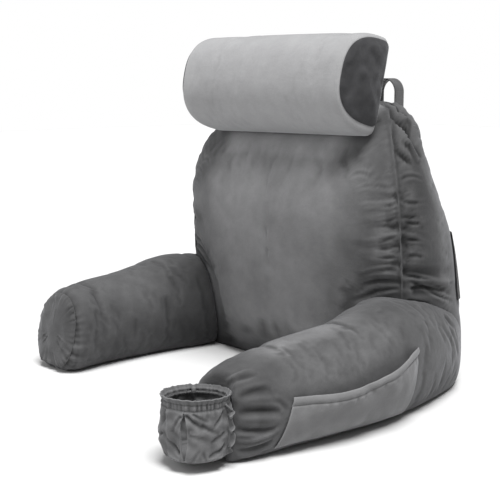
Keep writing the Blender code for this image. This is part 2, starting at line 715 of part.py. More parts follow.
def build_roll_end(name, side, collection, material):
    half = ROLL_LENGTH / 2
    rings = [roll_ring(side * (half + SEAT_GAP), ROLL_ENDS[0].scale)]
    for ring in ROLL_END_RINGS:
        x = side * (half + ring.forward + SEAT_GAP)
        rings.append(roll_ring(x, ring.scale * ROLL_END_INSET))
    tip = roll_core(side * (half + ROLL_END_TIP + SEAT_GAP))
    return domed_sheet(name, rings, tip, Vector((side, 0, 0)), collection, material)


# ================================================================ carry handle
def build_handle(collection, material):
    """A loop of webbing that stands up from the gusset, its arch along X."""
    radius = HANDLE_SPAN / 2
    bend_z = HANDLE_TOP - radius
    path = [(HANDLE_X + radius, HANDLE_FOOT), (HANDLE_X + radius, (HANDLE_FOOT + bend_z) / 2)]
    for k in range(HANDLE_BEND_STEPS + 1):
        angle = math.pi * k / HANDLE_BEND_STEPS
        path.append((HANDLE_X + radius * math.cos(angle), bend_z + radius * math.sin(angle)))
    path += [(HANDLE_X - radius, (HANDLE_FOOT + bend_z) / 2), (HANDLE_X - radius, HANDLE_FOOT)]
    half = HANDLE_WIDTH / 2
    grid = [[Vector((x, HANDLE_Y + y, z)) for y in (-half, 0.0, half)] for x, z in path]
    middle = Vector((HANDLE_X, HANDLE_Y, bend_z))
    return sheet("carry_handle", grid, BAND, lambda at: middle - at, collection, material)


# ================================================================ pockets
def arm_row_at(y):
    rows = ARM_ROWS + NOSE_ROWS
    values = [table_value(rows, "y", column, y) for column in ArmRow._fields[1:]]
    return ArmRow(y, *values)


def arm_outer_point(y, z):
    """The outer side of the reader's-left arm at a given y and height."""
    station = y
    for _ in range(4):
        row = arm_row_at(station)
        half_height = (row.height + ARM_SINK) / 2
        middle = row.height - half_height
        share = min(0.999, abs(z - middle) / half_height)
        out = row.half_width * (1 - share ** row.square) ** (1 / row.square)
        station = y + row.skew * out
    return Vector((row.x + out, y, z))


def build_side_pocket(collection, material):
    grid = []
    for r in range(POCKET_ROWS + 1):
        up = r / POCKET_ROWS
        line = []
        for c in range(POCKET_COLUMNS + 1):
            along = c / POCKET_COLUMNS
            hem_z = table_value(POCKET_HEM, "along", "z", along)
            puff = table_value(POCKET_HEM, "along", "puff", along)
            front_y = POCKET_FRONT[0][0] + (POCKET_FRONT[1][0] - POCKET_FRONT[0][0]) * up
            rear_y = POCKET_REAR[0][0] + (POCKET_REAR[1][0] - POCKET_REAR[0][0]) * up
            low_z = POCKET_FRONT[0][1] + (POCKET_REAR[0][1] - POCKET_FRONT[0][1]) * along
            y = front_y + (rear_y - front_y) * along
            z = low_z + (hem_z - low_z) * up
            point = arm_outer_point(y, z)
            point.x += POCKET_SEAT + puff * math.sin(up * math.pi / 2) ** POCKET_BELLY
            line.append(point)
        grid.append(line)
    return sheet("side_pocket", grid, CLOTH, lambda at: Vector((1, 0, 0)), collection, material)


def build_rear_pocket(collection, material):
    """A sheet round the rear of the backrest, sewn at its sides and bottom, open above."""
    low_z, high_z = REAR_POCKET_Z
    grid = []
    for r in range(REAR_POCKET_ROWS + 1):
        up = r / REAR_POCKET_ROWS
        z = low_z + (high_z - low_z) * up
        point = seam_point_at_height(z)
        half = []
        for angle in REAR_POCKET_ANGLES:
            inwards = (angle - REAR_POCKET_ANGLES[0]) / 90.0
            lift = REAR_POCKET_SIDE + REAR_POCKET_PUFF * min(1.0, inwards) * up
            half.append(gusset_point(point, 1, 1.0 + angle / 90.0, lift))
        line = list(half)
        edge = half[-1]
        for k in range(1, REAR_POCKET_MIDDLE):
            x = edge.x * (1 - 2 * k / REAR_POCKET_MIDDLE)
            line.append(Vector((x, edge.y + REAR_CROWN, edge.z)))
        line += [Vector((-place.x, place.y, place.z)) for place in reversed(half)]
        grid.append(line)
    return sheet("rear_pocket", grid, CLOTH, lambda at: at - REAR_POCKET_INSIDE,
                 collection, material)


def seam_point_at_height(z):
    for low, high in zip(HALF_SEAM, HALF_SEAM[1:]):
        if low.z <= z <= high.z and high.z > low.z:
            t = (z - low.z) / (high.z - low.z)
            return SeamPoint(*(a + (b - a) * t for a, b in zip(low, high)))
    return HALF_SEAM[-1]


# ================================================================ cup pouch
def pouch_radius(row, degrees):
    radius = row.radius
    for gather in POUCH_GATHERS:
        swing = abs((degrees - gather.angle + 180.0) % 360.0 - 180.0)
        radius += gather.rise * row.gather * bump(swing, gather.half_angle)
    return radius


def pouch_point(row, degrees):
    angle = math.radians(degrees)
    radius = pouch_radius(row, degrees)
    start, end = RIM_DROP_Z
    share = max(0.0, min(1.0, (row.z - start) / (end - start)))
    sag = RIM_DROP * share * (0.5 + 0.5 * math.cos(math.radians(degrees - RIM_DROP_ANGLE)))
    return Vector((POUCH_X + radius * math.cos(angle), POUCH_Y + radius * math.sin(angle),
                   row.z - sag))


def pouch_angles():
    """Column angles: the slit lies between the first and the last of them."""
    slit = math.degrees(SLIT_HALF_WIDTH / POUCH_MIDDLE.radius)
    sweep = 360.0 - 2 * slit
    return [SLIT_ANGLE + slit + sweep * k / (POUCH_COLUMNS - 1) for k in range(POUCH_COLUMNS)]


def build_pouch(collection, material):
    """An open bag of cloth on a flat base, with a slit left in its wall."""
    angles = pouch_angles()
    shape = bmesh.new()
    rows = [[shape.verts.new(pouch_point(row, angle)) for angle in angles] for row in POUCH_ROWS]
    for r in range(len(rows) - 1):
        for c in range(POUCH_COLUMNS):
            if c == POUCH_COLUMNS - 1 and SLIT_ROWS[0] <= r < SLIT_ROWS[1]:
                continue
            d = (c + 1) % POUCH_COLUMNS
            shape.faces.new((rows[r][c], rows[r][d], rows[r + 1][d], rows[r + 1][c]))
    base_row = PouchRow(POUCH_BASE_RING, POUCH_BASE_Z, 0.0)
    base = [shape.verts.new(pouch_point(base_row, angle)) for angle in angles]
    apex = shape.verts.new((POUCH_X, POUCH_Y, POUCH_BASE_Z))
    for c in range(POUCH_COLUMNS):
        d = (c + 1) % POUCH_COLUMNS
        shape.faces.new((base[c], base[d], rows[0][d], rows[0][c]))
        shape.faces.new((apex, base[d], base[c]))
    bmesh.ops.recalc_face_normals(shape, faces=shape.faces)
    face_towards(shape, Vector((0, 0, -1)))
    mesh = bpy.data.meshes.new("cup_pouch")
    shape.to_mesh(mesh)
    shape.free()
    thing = add_object("cup_pouch", mesh, collection, material)
    thicken(thing, CLOTH, -1.0)
    return thing


def pouch_cutter(cutters, material):
    """The pouch's outer shape as a full body, to trim the arm's end to it."""
    angles = [360.0 * k / POUCH_COLUMNS for k in range(POUCH_COLUMNS)]
    rings = [[pouch_point(row, angle) for angle in angles] for row in POUCH_ROWS]
    low = PouchRow(POUCH_ROWS[0].radius, POUCH_CUT_Z[0], 0.0)
    high = PouchRow(POUCH_ROWS[-1].radius, POUCH_CUT_Z[1], 0.0)
    rings.insert(0, [pouch_point(low, angle) for angle in angles])
    rings.append([pouch_point(high, angle) for angle in angles])
    tips = (Vector((POUCH_X, POUCH_Y, low.z)), Vector((POUCH_X, POUCH_Y, high.z)))
    body = loft("pouch_body", rings, tips, cutters, material)
    body.hide_render = True
    body.display_type = "WIRE"
    grow = body.modifiers.new("Grow", "DISPLACE")
    grow.mid_level = 0.0
    grow.strength = CUT_GROWTH
    return body


def build_ruffle(name, degrees, collection, material):
    """A wavy strip that stands out from the pouch along its joining seam."""
    angle = math.radians(degrees)
    outwards = Vector((math.cos(angle), math.sin(angle), 0.0))
    across = Vector((-math.sin(angle), math.cos(angle), 0.0))
    low_z, high_z = RUFFLE_Z
    grid = []
    for k in range(RUFFLE_STEPS + 1):
        share = k / RUFFLE_STEPS
        z = low_z + (high_z - low_z) * share
        radius = table_value(POUCH_ROWS, "z", "radius", z) + RUFFLE_SEAT
        wave = RUFFLE_WAVE * math.sin(2 * math.pi * RUFFLE_WAVES * share)
        line = []
        for part in (0.0, 0.5, 1.0):
            centre = Vector((POUCH_X, POUCH_Y, z))
            line.append(centre + outwards * (radius + RUFFLE_WIDTH * part) + across * wave * part)
        grid.append(line)
    return sheet(name, grid, CLOTH, lambda at: across, collection, material)


# ================================================================ the whole pillow
def build_all():
    clear_scene()
    pillow = new_collection("reading_pillow_with_arms")
    cutters = new_collection("cutters")

    velour = fabric("grey_velour", VELOUR, 0.92)
    light = fabric("light_velour", LIGHT_VELOUR, 0.90)
    dark = fabric("dark_velour", DARK_VELOUR, 0.92)
    mesh_cloth = fabric("black_mesh", BLACK_MESH, 0.85)

    back = build_back(pillow, velour)
    roll = build_roll(pillow, light)
    back_cutter = grown_copy(back, CUT_GROWTH, cutters)
    trim(back, grown_copy(roll, CUT_GROWTH, cutters))

    left_arm = build_left_arm(pillow, velour)
    right_arm = build_right_arm(pillow, velour)
    pouch_body = pouch_cutter(cutters, velour)
    trim(left_arm, back_cutter)
    trim(right_arm, back_cutter)
    trim(right_arm, pouch_body)

    handle = build_handle(pillow, velour)
    trim(handle, back_cutter)

    build_end_panel(pillow, velour)
    build_roll_end("neck_roll_end_left", -1, pillow, dark)
    build_roll_end("neck_roll_end_right", 1, pillow, dark)
    build_side_pocket(pillow, velour)
    build_rear_pocket(pillow, mesh_cloth)
    build_pouch(pillow, velour)
    build_ruffle("pouch_ruffle_outer", RUFFLE_ANGLES[0], pillow, velour)
    build_ruffle("pouch_ruffle_inner", RUFFLE_ANGLES[1], pillow, velour)


build_all()
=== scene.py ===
"""The looks of a reading pillow with arms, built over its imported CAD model.

Metres, +Z up, in the part's own frame. Stuffed pieces are swelled by a short cloth
simulation, and folds, gathers and seams are laid on them afterwards from the tables here.
"""
import math
from collections import namedtuple

import bmesh
import bpy
import numpy as np
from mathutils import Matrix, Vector
from mathutils.bvhtree import BVHTree
from mathutils.kdtree import KDTree


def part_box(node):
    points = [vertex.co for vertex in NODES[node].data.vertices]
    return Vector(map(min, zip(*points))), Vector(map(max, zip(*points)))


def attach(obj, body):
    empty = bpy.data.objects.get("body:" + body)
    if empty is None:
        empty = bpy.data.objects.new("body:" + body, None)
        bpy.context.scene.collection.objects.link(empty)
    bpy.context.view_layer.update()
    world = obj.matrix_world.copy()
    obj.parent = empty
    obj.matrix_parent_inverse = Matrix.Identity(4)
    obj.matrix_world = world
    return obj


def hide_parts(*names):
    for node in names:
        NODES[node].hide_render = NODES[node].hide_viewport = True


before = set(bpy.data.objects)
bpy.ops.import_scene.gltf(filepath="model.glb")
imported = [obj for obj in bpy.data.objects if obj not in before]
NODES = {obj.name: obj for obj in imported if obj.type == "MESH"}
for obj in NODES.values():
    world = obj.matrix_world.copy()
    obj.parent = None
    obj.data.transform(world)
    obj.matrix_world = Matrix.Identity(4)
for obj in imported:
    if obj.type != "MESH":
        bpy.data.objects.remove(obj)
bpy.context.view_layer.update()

FLOOR_CLEARANCE = 0.0003
NEIGHBOUR_GAP = 0.0004
SHEET_GAP = 0.0003


# ================================================================ small tools
def smoothstep(low, high, value):
    share = np.clip((value - low) / (high - low), 0.0, 1.0)
    return share * share * (3 - 2 * share)


def bell(distance, half_width):
    """1 on a line, falling smoothly to 0 at its half-width."""
    inside = np.clip(np.abs(distance) / half_width, 0.0, 1.0)
    return 0.5 + 0.5 * np.cos(np.pi * inside)


def waves(places, length, seed, count=16):
    """A smooth random field over places, roughly -1 to 1, of about one wavelength."""
    places = np.atleast_2d(places)
    chance = np.random.default_rng(seed)
    aims = chance.normal(size=(count, places.shape[1]))
    aims /= np.linalg.norm(aims, axis=1)[:, None]
    lengths = length * chance.uniform(0.65, 1.6, count)
    phases = chance.uniform(0, 2 * np.pi, count)
    angles = places @ (aims * (2 * np.pi / lengths)[:, None]).T + phases
    return np.sin(angles).sum(1) / math.sqrt(count)


def hermite(before, start, end, after, t):
    """A smooth curve from start to end whose slope follows the rows on either side."""
    slope0 = (end - before) / 2
    slope1 = (after - start) / 2
    return ((2 * t ** 3 - 3 * t ** 2 + 1) * start + (t ** 3 - 2 * t ** 2 + t) * slope0
            + (3 * t ** 2 - 2 * t ** 3) * end + (t ** 3 - t ** 2) * slope1)


def smooth_rows(rows, steps):
    """A table filled in with smooth rows: steps new ones for each, or one number per row."""
    rows = np.array(rows, float)
    steps = np.broadcast_to(steps, len(rows) - 1)
    padded = np.vstack([rows[:1], rows, rows[-1:]])
    filled = []
    for k in range(len(rows) - 1):
        for step in range(steps[k]):
            filled.append(hermite(*padded[k:k + 4], step / steps[k]))
    filled.append(rows[-1])
    return np.array(filled)


def signed_power(value, power):
    return np.sign(value) * np.abs(value) ** power


def circle(degrees):
    """Points on a circle of radius 1. Waves over them close on themselves."""
    angles = np.radians(degrees)
    return np.stack([np.cos(angles), np.sin(angles)], 1)


def off_segment(places, start, end):
    """Distance of places from a segment, and how far along it they are, 0 to 1."""
    run = end - start
    share = np.clip((places - start) @ run / (run @ run), 0, 1)
    return np.linalg.norm(places - start - share[..., None] * run, axis=-1), share


def crease_shape(distance, shoulder):
    """1 on a crease's line, falling to a shoulder of the other kind on both sides."""
    return np.exp(-distance ** 2) - shoulder * np.exp(-((distance - 1.7) / 0.9) ** 2)


# ================================================================ mesh tools
def read_mesh(items, name, width, kind=np.float32):
    values = np.empty(len(items) * width, kind)
    items.foreach_get(name, values)
    return values.reshape(-1, width)


def get_points(obj):
    return read_mesh(obj.data.vertices, "co", 3).astype(float)


def get_normals(obj):
    return read_mesh(obj.data.vertex_normals, "vector", 3).astype(float)


def get_edges(obj):
    return read_mesh(obj.data.edges, "vertices", 2, np.int32)


def set_points(obj, points):
    points = points.copy()
    points[:, 2] = np.maximum(points[:, 2], FLOOR_CLEARANCE)
    obj.data.vertices.foreach_set("co", points.astype(np.float32).ravel())
    obj.data.update()


def blurred(values, edges, times):
    """Values at vertices, each moved halfway to the mean of its neighbours some times."""
    count = np.bincount(edges.ravel(), minlength=len(values))
    count = np.maximum(count, 1)[:, None]
    values = values.astype(float)
    for _ in range(times):
        total = np.zeros_like(values)
        for column in range(values.shape[1]):
            for near, far in ((0, 1), (1, 0)):
                total[:, column] += np.bincount(edges[:, near], values[edges[:, far], column],
                                                minlength=len(values))
        values += 0.5 * (total / count - values)
    return values


def shade_smooth(mesh):
    mesh.polygons.foreach_set("use_smooth", [True] * len(mesh.polygons))
    mesh.update()


def link(name, data):
    """A new object in the scene."""
    obj = bpy.data.objects.new(name, data)
    bpy.context.scene.collection.objects.link(obj)
    return obj


def new_piece(name, points, faces):
    mesh = bpy.data.meshes.new(name)
    mesh.from_pydata(np.asarray(points, float).tolist(), [], faces)
    shape = bmesh.new()
    shape.from_mesh(mesh)
    bmesh.ops.recalc_face_normals(shape, faces=shape.faces)
    shape.to_mesh(mesh)
    shape.free()
    shade_smooth(mesh)
    return link(name, mesh)


def grid_faces(rows, columns, wrap):
    faces = []
    for r in range(rows - 1):
        for c in range(columns if wrap else columns - 1):
            d = (c + 1) % columns
            faces.append((r * columns + c, r * columns + d,
                          (r + 1) * columns + d, (r + 1) * columns + c))
    return faces


def closed_loft(name, rings, tips):
    """A closed body over rings of points, shape (rings, columns, 3), with a point at each end."""
    count, columns = rings.shape[:2]
    points = np.vstack([rings.reshape(-1, 3), tips])
    faces = grid_faces(count, columns, True)
    first, last = count * columns, count * columns + 1
    for c in range(columns):
        d = (c + 1) % columns
        faces.append((first, d, c))
        faces.append((last, (count - 1) * columns + c, (count - 1) * columns + d))
    return new_piece(name, points, faces)


def grid_normals(grid, outwards, wrap=False):
    """Normals of a grid of points, shape (rows, columns, 3), on the side that looks outwards,
    which is a vector or one per point."""
    down = np.gradient(grid, axis=0)
    if wrap:
        along = (np.roll(grid, -1, 1) - np.roll(grid, 1, 1)) / 2
    else:
        along = np.gradient(grid, axis=1)
    normals = np.cross(along, down)
    normals /= np.maximum(np.linalg.norm(normals, axis=2), 1e-12)[:, :, None]
    return normals if (normals * outwards).sum() > 0 else -normals


def cloth_sheet(name, grid, thickness, outwards, edge_share=0.35, wrap=False, domed=False):
    """A sheet of cloth with two faces and rounded edges, its middle surface on the grid.
    The last row of a domed sheet is a small ring, which a face closes on each side."""
    normals = grid_normals(grid, outwards, wrap)
    rows, columns = grid.shape[:2]
    half = np.full((rows, columns), thickness / 2)
    half[0] *= edge_share
    if not domed:
        half[-1] *= edge_share
    if not wrap:
        half[1:-1, 0] *= edge_share
        half[1:-1, -1] *= edge_share
    front = grid + normals * half[:, :, None]
    rear = grid - normals * half[:, :, None]
    points = np.vstack([front.reshape(-1, 3), rear.reshape(-1, 3)])
    size = rows * columns
    faces = grid_faces(rows, columns, wrap)
    faces += [tuple(size + v for v in reversed(face)) for face in faces]
    border = [[(0, c) for c in range(columns)]]
    last = [(rows - 1, c) for c in range(columns)]
    if domed:
        faces.append(tuple(r * columns + c for r, c in last))
        faces.append(tuple(size + r * columns + c for r, c in reversed(last)))
    else:
        border.append(last)
    if wrap:
        border = [line + line[:1] for line in border]
    else:
        border.append([(r, 0) for r in range(rows)])
        border.append([(r, columns - 1) for r in range(rows)])
    for line in border:
        for (r0, c0), (r1, c1) in zip(line, line[1:]):
            a, b = r0 * columns + c0, r1 * columns + c1
            faces.append((a, b, size + b, size + a))
    return new_piece(name, points, faces)


def tree_of(obj):
    mesh = obj.data
    points = [v.co.copy() for v in mesh.vertices]
    return BVHTree.FromPolygons(points, [tuple(p.vertices) for p in mesh.polygons])


def trees_of(*node_names):
    return [tree_of(NODES[name]) for name in node_names]


def near_distance(points, trees, reach):
    """Distance from each point to the nearest of some surfaces, up to a reach."""
    distance = np.full(len(points), reach)
    for tree in trees:
        for i, point in enumerate(points):
            found = tree.find_nearest(point, reach)
            if found[0] is not None:
                distance[i] = min(distance[i], found[3])
    return distance


PARITY_AIM = Vector((0.4123, -0.3177, 0.8539))
PARITY_STEP = 0.0001
PARITY_MOST = 40


def is_inside(tree, point):
    """Whether a point is in a closed body, from how often a line out of it meets the body."""
    count = 0
    at = Vector(point)
    while count < PARITY_MOST:
        found = tree.ray_cast(at, PARITY_AIM)
        if found[0] is None:
            break
        count += 1
        at = found[0] + PARITY_AIM * PARITY_STEP
    return count % 2 == 1


def kept_clear(points, trees, reach, gap=NEIGHBOUR_GAP):
    """Points that are inside a neighbour or against it are moved just off its surface. Reach
    is how deep inside they can be."""
    points = points.copy()
    for tree in trees:
        for i, point in enumerate(points):
            found = tree.find_nearest(point, reach)
            if found[0] is None:
                continue
            away = Vector(point) - found[0]
            if away.dot(found[1]) >= gap:
                continue
            if is_inside(tree, point):
                points[i] = found[0] + found[1] * gap
            elif found[3] < gap:
                points[i] = found[0] + away.normalized() * gap
    return points


def seat(obj, trees, reach, gap=SHEET_GAP):
    """Moves a sheet's points off the pieces that it rests on."""
    set_points(obj, kept_clear(get_points(obj), trees, reach, gap))


# ================================================================ stuffed pieces
def solid_copy(name, node):
    obj = link(name, NODES[node].data.copy())
    obj.data.materials.clear()
    return obj


def bake(obj):
    """Replaces an object's mesh by what its modifiers make of it, and drops them."""
    bpy.context.view_layer.update()
    shaped = obj.evaluated_get(bpy.context.evaluated_depsgraph_get())
    mesh = bpy.data.meshes.new_from_object(shaped)
    obj.modifiers.clear()
    old = obj.data
    obj.data = mesh
    bpy.data.meshes.remove(old)


def modify(obj, kind, **settings):
    """Applies one modifier to an object."""
    change = obj.modifiers.new(kind, kind)
    for key, value in settings.items():
        setattr(change, key, value)
    bake(obj)
    shade_smooth(obj.data)


def remesh(obj, voxel):
    modify(obj, "REMESH", mode="VOXEL", voxel_size=voxel)


CLOTH = dict(quality=6, mass=0.3, tension_stiffness=12, compression_stiffness=12,
             shear_stiffness=5, bending_stiffness=0.4, air_damping=4, use_pressure=True,
             uniform_pressure_force=4.0, vertex_group_mass="held", pin_stiffness=20)
CLOTH_FRAMES = 20
START_SHRINK = 0.0015          # a stuffed piece starts this much inside its solid
LEAST_HOLD = 0.02              # a vertex that is held less than this is free
HOLD_REACH = 0.030             # how far from a neighbour a vertex is still held a little
FREE_REACH = 0.020
SHIFT_SOURCES = 5              # how many coarse vertices move a fine one


def near_hold(points, neighbours, clearance):
    """1 at points against a neighbour or the ground, falling to 0 well off both."""
    near = near_distance(points, neighbours, HOLD_REACH + 0.001)
    return np.maximum(1 - smoothstep(clearance, HOLD_REACH, near),
                      1 - smoothstep(clearance, FREE_REACH, points[:, 2]))


def freedom(obj, neighbours):
    """0 at vertices against a neighbour, 1 well off it."""
    near = near_distance(get_points(obj), neighbours, FREE_REACH + 0.001)
    return smoothstep(0.001, FREE_REACH, near)[:, None]


def swell(obj, hold, cap, growth):
    """Swells a stuffed piece by simulation, by no more than cap. hold is 0 to 1 per vertex, 1
    for one that stays; growth is how much longer than the solid's its cloth was cut, which
    lets it wrinkle."""
    rest = get_points(obj)
    set_points(obj, rest - get_normals(obj) * START_SHRINK * (1 - hold)[:, None])
    held = obj.vertex_groups.new(name="held")
    for vertex, weight in enumerate(hold):
        if weight > LEAST_HOLD:
            held.add([vertex], float(weight), "REPLACE")
    change = obj.modifiers.new("Cloth", "CLOTH")
    for key, value in CLOTH.items():
        setattr(change.settings, key, value)
    change.settings.shrink_min = -growth
    change.settings.effector_weights.gravity = 0
    change.collision_settings.use_collision = False
    change.point_cache.frame_start = 1
    change.point_cache.frame_end = CLOTH_FRAMES
    scene = bpy.context.scene
    for number in range(1, CLOTH_FRAMES + 1):
        scene.frame_set(number)
    bake(obj)
    obj.vertex_groups.clear()
    moved = (get_points(obj) - rest) * (1 - hold)[:, None]
    length = np.linalg.norm(moved, axis=1)
    moved *= np.minimum(1.0, cap / np.maximum(length, 1e-9))[:, None]
    set_points(obj, rest + moved)
    scene.frame_set(1)


def swell_shift(obj, neighbours, voxel, growth):
    """How far each vertex moves when a coarse copy of a piece is swelled."""
    points = get_points(obj)
    shift = np.zeros_like(points)
    coarse = link("coarse", obj.data.copy())
    remesh(coarse, voxel)
    rest = get_points(coarse)
    hold = near_hold(rest, neighbours, clearance=0.004)
    swell(coarse, hold, cap=0.005, growth=growth)
    moved = get_points(coarse) - rest
    finder = KDTree(len(rest))
    for i, point in enumerate(rest):
        finder.insert(point, i)
    finder.balance()
    for i, point in enumerate(points):
        found = finder.find_n(point, SHIFT_SOURCES)
        weights = np.array([1.0 / (entry[2] + 0.002) ** 2 for entry in found])
        indices = [entry[1] for entry in found]
        shift[i] = weights @ moved[indices] / weights.sum()
    bpy.data.objects.remove(coarse)
    return shift


# A crease runs over a surface from start to end and bows towards bow. Rise is below 0 for
# a valley, and each has a lower shoulder of the other kind on both sides.
Crease = namedtuple("Crease", "start bow end rise width")
CREASE_SHOULDER = 0.45
CREASE_REACH = 3.2             # widths from the line, after which a crease has died out


def creases_in_mm(*rows, narrowed=1.0):
    """Creases from rows of start, bow and end, x, y and z each, then rise and half-width,
    which all can be narrowed by a factor."""
    rows = np.array(rows) / 1000
    return [Crease(row[:3], row[3:6], row[6:9], row[9], row[10] * narrowed) for row in rows]


def creased(points, normals, creases):
    """Points lifted along their normals by creases, each a curve through 36 steps."""
    lift = np.zeros(len(points))
    steps = np.linspace(0, 1, 36)
    for crease in creases:
        start, bow, end = crease.start, crease.bow, crease.end
        middle = 2 * bow - (start + end) / 2
        line = ((1 - steps) ** 2)[:, None] * start + (2 * steps * (1 - steps))[:, None] * middle
        line = line + (steps ** 2)[:, None] * end
        reach = CREASE_REACH * crease.width
        low, high = line.min(0) - reach, line.max(0) + reach
        near = np.flatnonzero(np.all((points > low) & (points < high), axis=1))
        if not len(near):
            continue
        apart = np.linalg.norm(points[near][:, None, :] - line[None], axis=2)
        closest = apart.argmin(1)
        distance = apart[np.arange(len(near)), closest] / crease.width
        taper = np.sin(np.pi * steps[closest]) ** 0.7
        lift[near] += crease.rise * crease_shape(distance, CREASE_SHOULDER) * taper
    return points + normals * lift[:, None]


# ================================================================ materials
def node(tree, kind, **values):
    made = tree.nodes.new(kind)
    for key, value in values.items():
        if key in made.inputs:
            made.inputs[key].default_value = value
        else:
            setattr(made, key, value)
    return made


def noise(tree, place, scale, detail):
    made = node(tree, "ShaderNodeTexNoise", Scale=scale, Detail=detail, Roughness=0.55)
    tree.links.new(place.outputs["Object"], made.inputs["Vector"])
    return made.outputs["Fac"]


def ramp(tree, value, stops):
    made = node(tree, "ShaderNodeValToRGB")
    for element, (position, level) in zip(made.color_ramp.elements, stops):
        element.position = position
        element.color = (level, level, level, 1)
    tree.links.new(value, made.inputs["Fac"])
    return made.outputs["Color"]


def product(tree, *levels):
    """The product of two or more outputs."""
    first = levels[0]
    for second in levels[1:]:
        made = node(tree, "ShaderNodeMath", operation="MULTIPLY")
        tree.links.new(first, made.inputs[0])
        tree.links.new(second, made.inputs[1])
        first = made.outputs[0]
    return first


def bumped(tree, height, strength, distance, below=None):
    made = node(tree, "ShaderNodeBump", Strength=strength, Distance=distance)
    tree.links.new(height, made.inputs["Height"])
    if below:
        tree.links.new(below, made.inputs["Normal"])
    return made.outputs["Normal"]


def new_material(name):
    material = bpy.data.materials.new(name)
    material.use_nodes = True
    tree = material.node_tree
    return material, tree, tree.nodes["Principled BSDF"], node(tree, "ShaderNodeTexCoord")


def set_shader(shader, values):
    for key, value in values.items():
        shader.inputs[key].default_value = value


def tinted(tree, shader, colour, level, normal):
    """Gives a shader its colour, times a level, and its bumps."""
    tint = node(tree, "ShaderNodeMix", data_type="RGBA", blend_type="MULTIPLY")
    tint.inputs[0].default_value = 1.0
    tint.inputs[6].default_value = (*colour, 1)
    tree.links.new(level, tint.inputs[7])
    tree.links.new(tint.outputs[2], shader.inputs["Base Color"])
    tree.links.new(normal, shader.inputs["Normal"])


def velour(name, colour, sheen, patch=0.13, mottle=0.07):
    """Short brushed pile: smudges where the pile lies another way, fine grain and sheen.
    The vertices' painted light value darkens or lightens it as well, with painted shade and painted
    highlights."""
    material, tree, shader, place = new_material(name)
    smudges = ramp(tree, noise(tree, place, 7.0, 3.0), [(0.30, 1 - patch), (0.70, 1 + patch)])
    mottles = ramp(tree, noise(tree, place, 38.0, 4.0), [(0.30, 1 - mottle), (0.70, 1 + mottle)])
    grain = ramp(tree, noise(tree, place, 900.0, 3.0), [(0.25, 0.88), (0.75, 1.12)])
    # Painted shade and painted highlights, stored on the vertices.
    painted_light_level = node(tree, "ShaderNodeAttribute", attribute_name="nap_and_painted_light").outputs["Fac"]
    pile = bumped(tree, noise(tree, place, 1300.0, 3.0), 0.35, 0.0006)
    brushed = bumped(tree, noise(tree, place, 130.0, 4.0), 0.35, 0.0015, pile)
    tinted(tree, shader, colour, product(tree, smudges, mottles, grain, painted_light_level), brushed)
    set_shader(shader, {"Roughness": 0.80, "Specular IOR Level": 0.15, "Sheen Weight": sheen,
                        "Sheen Roughness": 0.38, "Sheen Tint": (0.95, 0.96, 1.0, 1)})
    return material


def woven(name, colour, scale, roughness, sheen=0.2):
    """Plain woven cloth or webbing: two crossed sets of threads in bump and colour."""
    material, tree, shader, place = new_material(name)
    threads = []
    for direction in ("X", "Z"):
        made = node(tree, "ShaderNodeTexWave", Scale=scale, Distortion=0.6, Detail=1.0)
        made.bands_direction = direction
        tree.links.new(place.outputs["Object"], made.inputs["Vector"])
        threads.append(made.outputs["Fac"])
    weave = product(tree, *threads)
    cloudy = ramp(tree, noise(tree, place, 40.0, 3.0), [(0.3, 0.8), (0.7, 1.2)])
    level = product(tree, ramp(tree, weave, [(0.0, 0.72), (0.6, 1.2)]), cloudy)
    tinted(tree, shader, colour, level, bumped(tree, weave, 0.5, 0.0004))
    set_shader(shader, {"Roughness": roughness, "Specular IOR Level": 0.2, "Sheen Weight": sheen})
    return material


# The same grey velour, copied at a different level for each piece: partly as its pile lies on each,
# partly painted shade and painted light for how light falls on it.
GREY_BACK = velour("grey_velour_backrest", (0.170, 0.170, 0.173), 0.22, patch=0.16, mottle=0.09)
GREY_ARM = velour("grey_velour_arms", (0.082, 0.082, 0.0835), 0.22, patch=0.27, mottle=0.14)
GREY_POCKET = velour("grey_velour_pocket", (0.146, 0.146, 0.148), 0.22, patch=0.08)
GREY_POUCH = velour("grey_velour_pouch", (0.106, 0.106, 0.108), 0.22)
LIGHT = velour("light_velour", (0.290, 0.290, 0.294), 0.30, patch=0.05, mottle=0.05)
DARK = velour("dark_velour", (0.044, 0.044, 0.046), 0.25, patch=0.30, mottle=0.25)
WEBBING = woven("grey_webbing", (0.08, 0.08, 0.082), 900.0, 0.7)
BLACK = woven("black_mesh", (0.02, 0.02, 0.021), 1100.0, 0.75, sheen=0.1)


# Scales of the painted ridge highlights and valley shade.
PAINTED_RIDGE_SCALES = ((5, 0.0006), (30, 0.0006 * 6 ** 0.5))   # times blurred, and a ridge's height


def set_nap_and_painted_light(obj, base=1.0, strength=0.45):
    """The value of pile tone and painted light: a painted highlight on ridges and painted shade in
    valleys, times a base level.
    """
    points, edges, normals = get_points(obj), get_edges(obj), get_normals(obj)
    ridge = np.zeros(len(points))
    for times, height in PAINTED_RIDGE_SCALES:
        out = ((points - blurred(points, edges, times)) * normals).sum(1)
        ridge += np.tanh((out - np.median(out)) / height) / len(PAINTED_RIDGE_SCALES)
    nap_and_painted_light = (base * (1 + strength * ridge)).astype(np.float32)
    obj.data.attributes.new("nap_and_painted_light", "FLOAT", "POINT").data.foreach_set("value", nap_and_painted_light)


def dress(obj, material, node_name):
    # Pieces without values of their own get painted highlights on ridges and painted shade in
    # valleys.
    if "nap_and_painted_light" not in obj.data.attributes:
        set_nap_and_painted_light(obj)
    obj.data.materials.clear()
    obj.data.materials.append(material)
    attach(obj, "root")
    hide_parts(node_name)


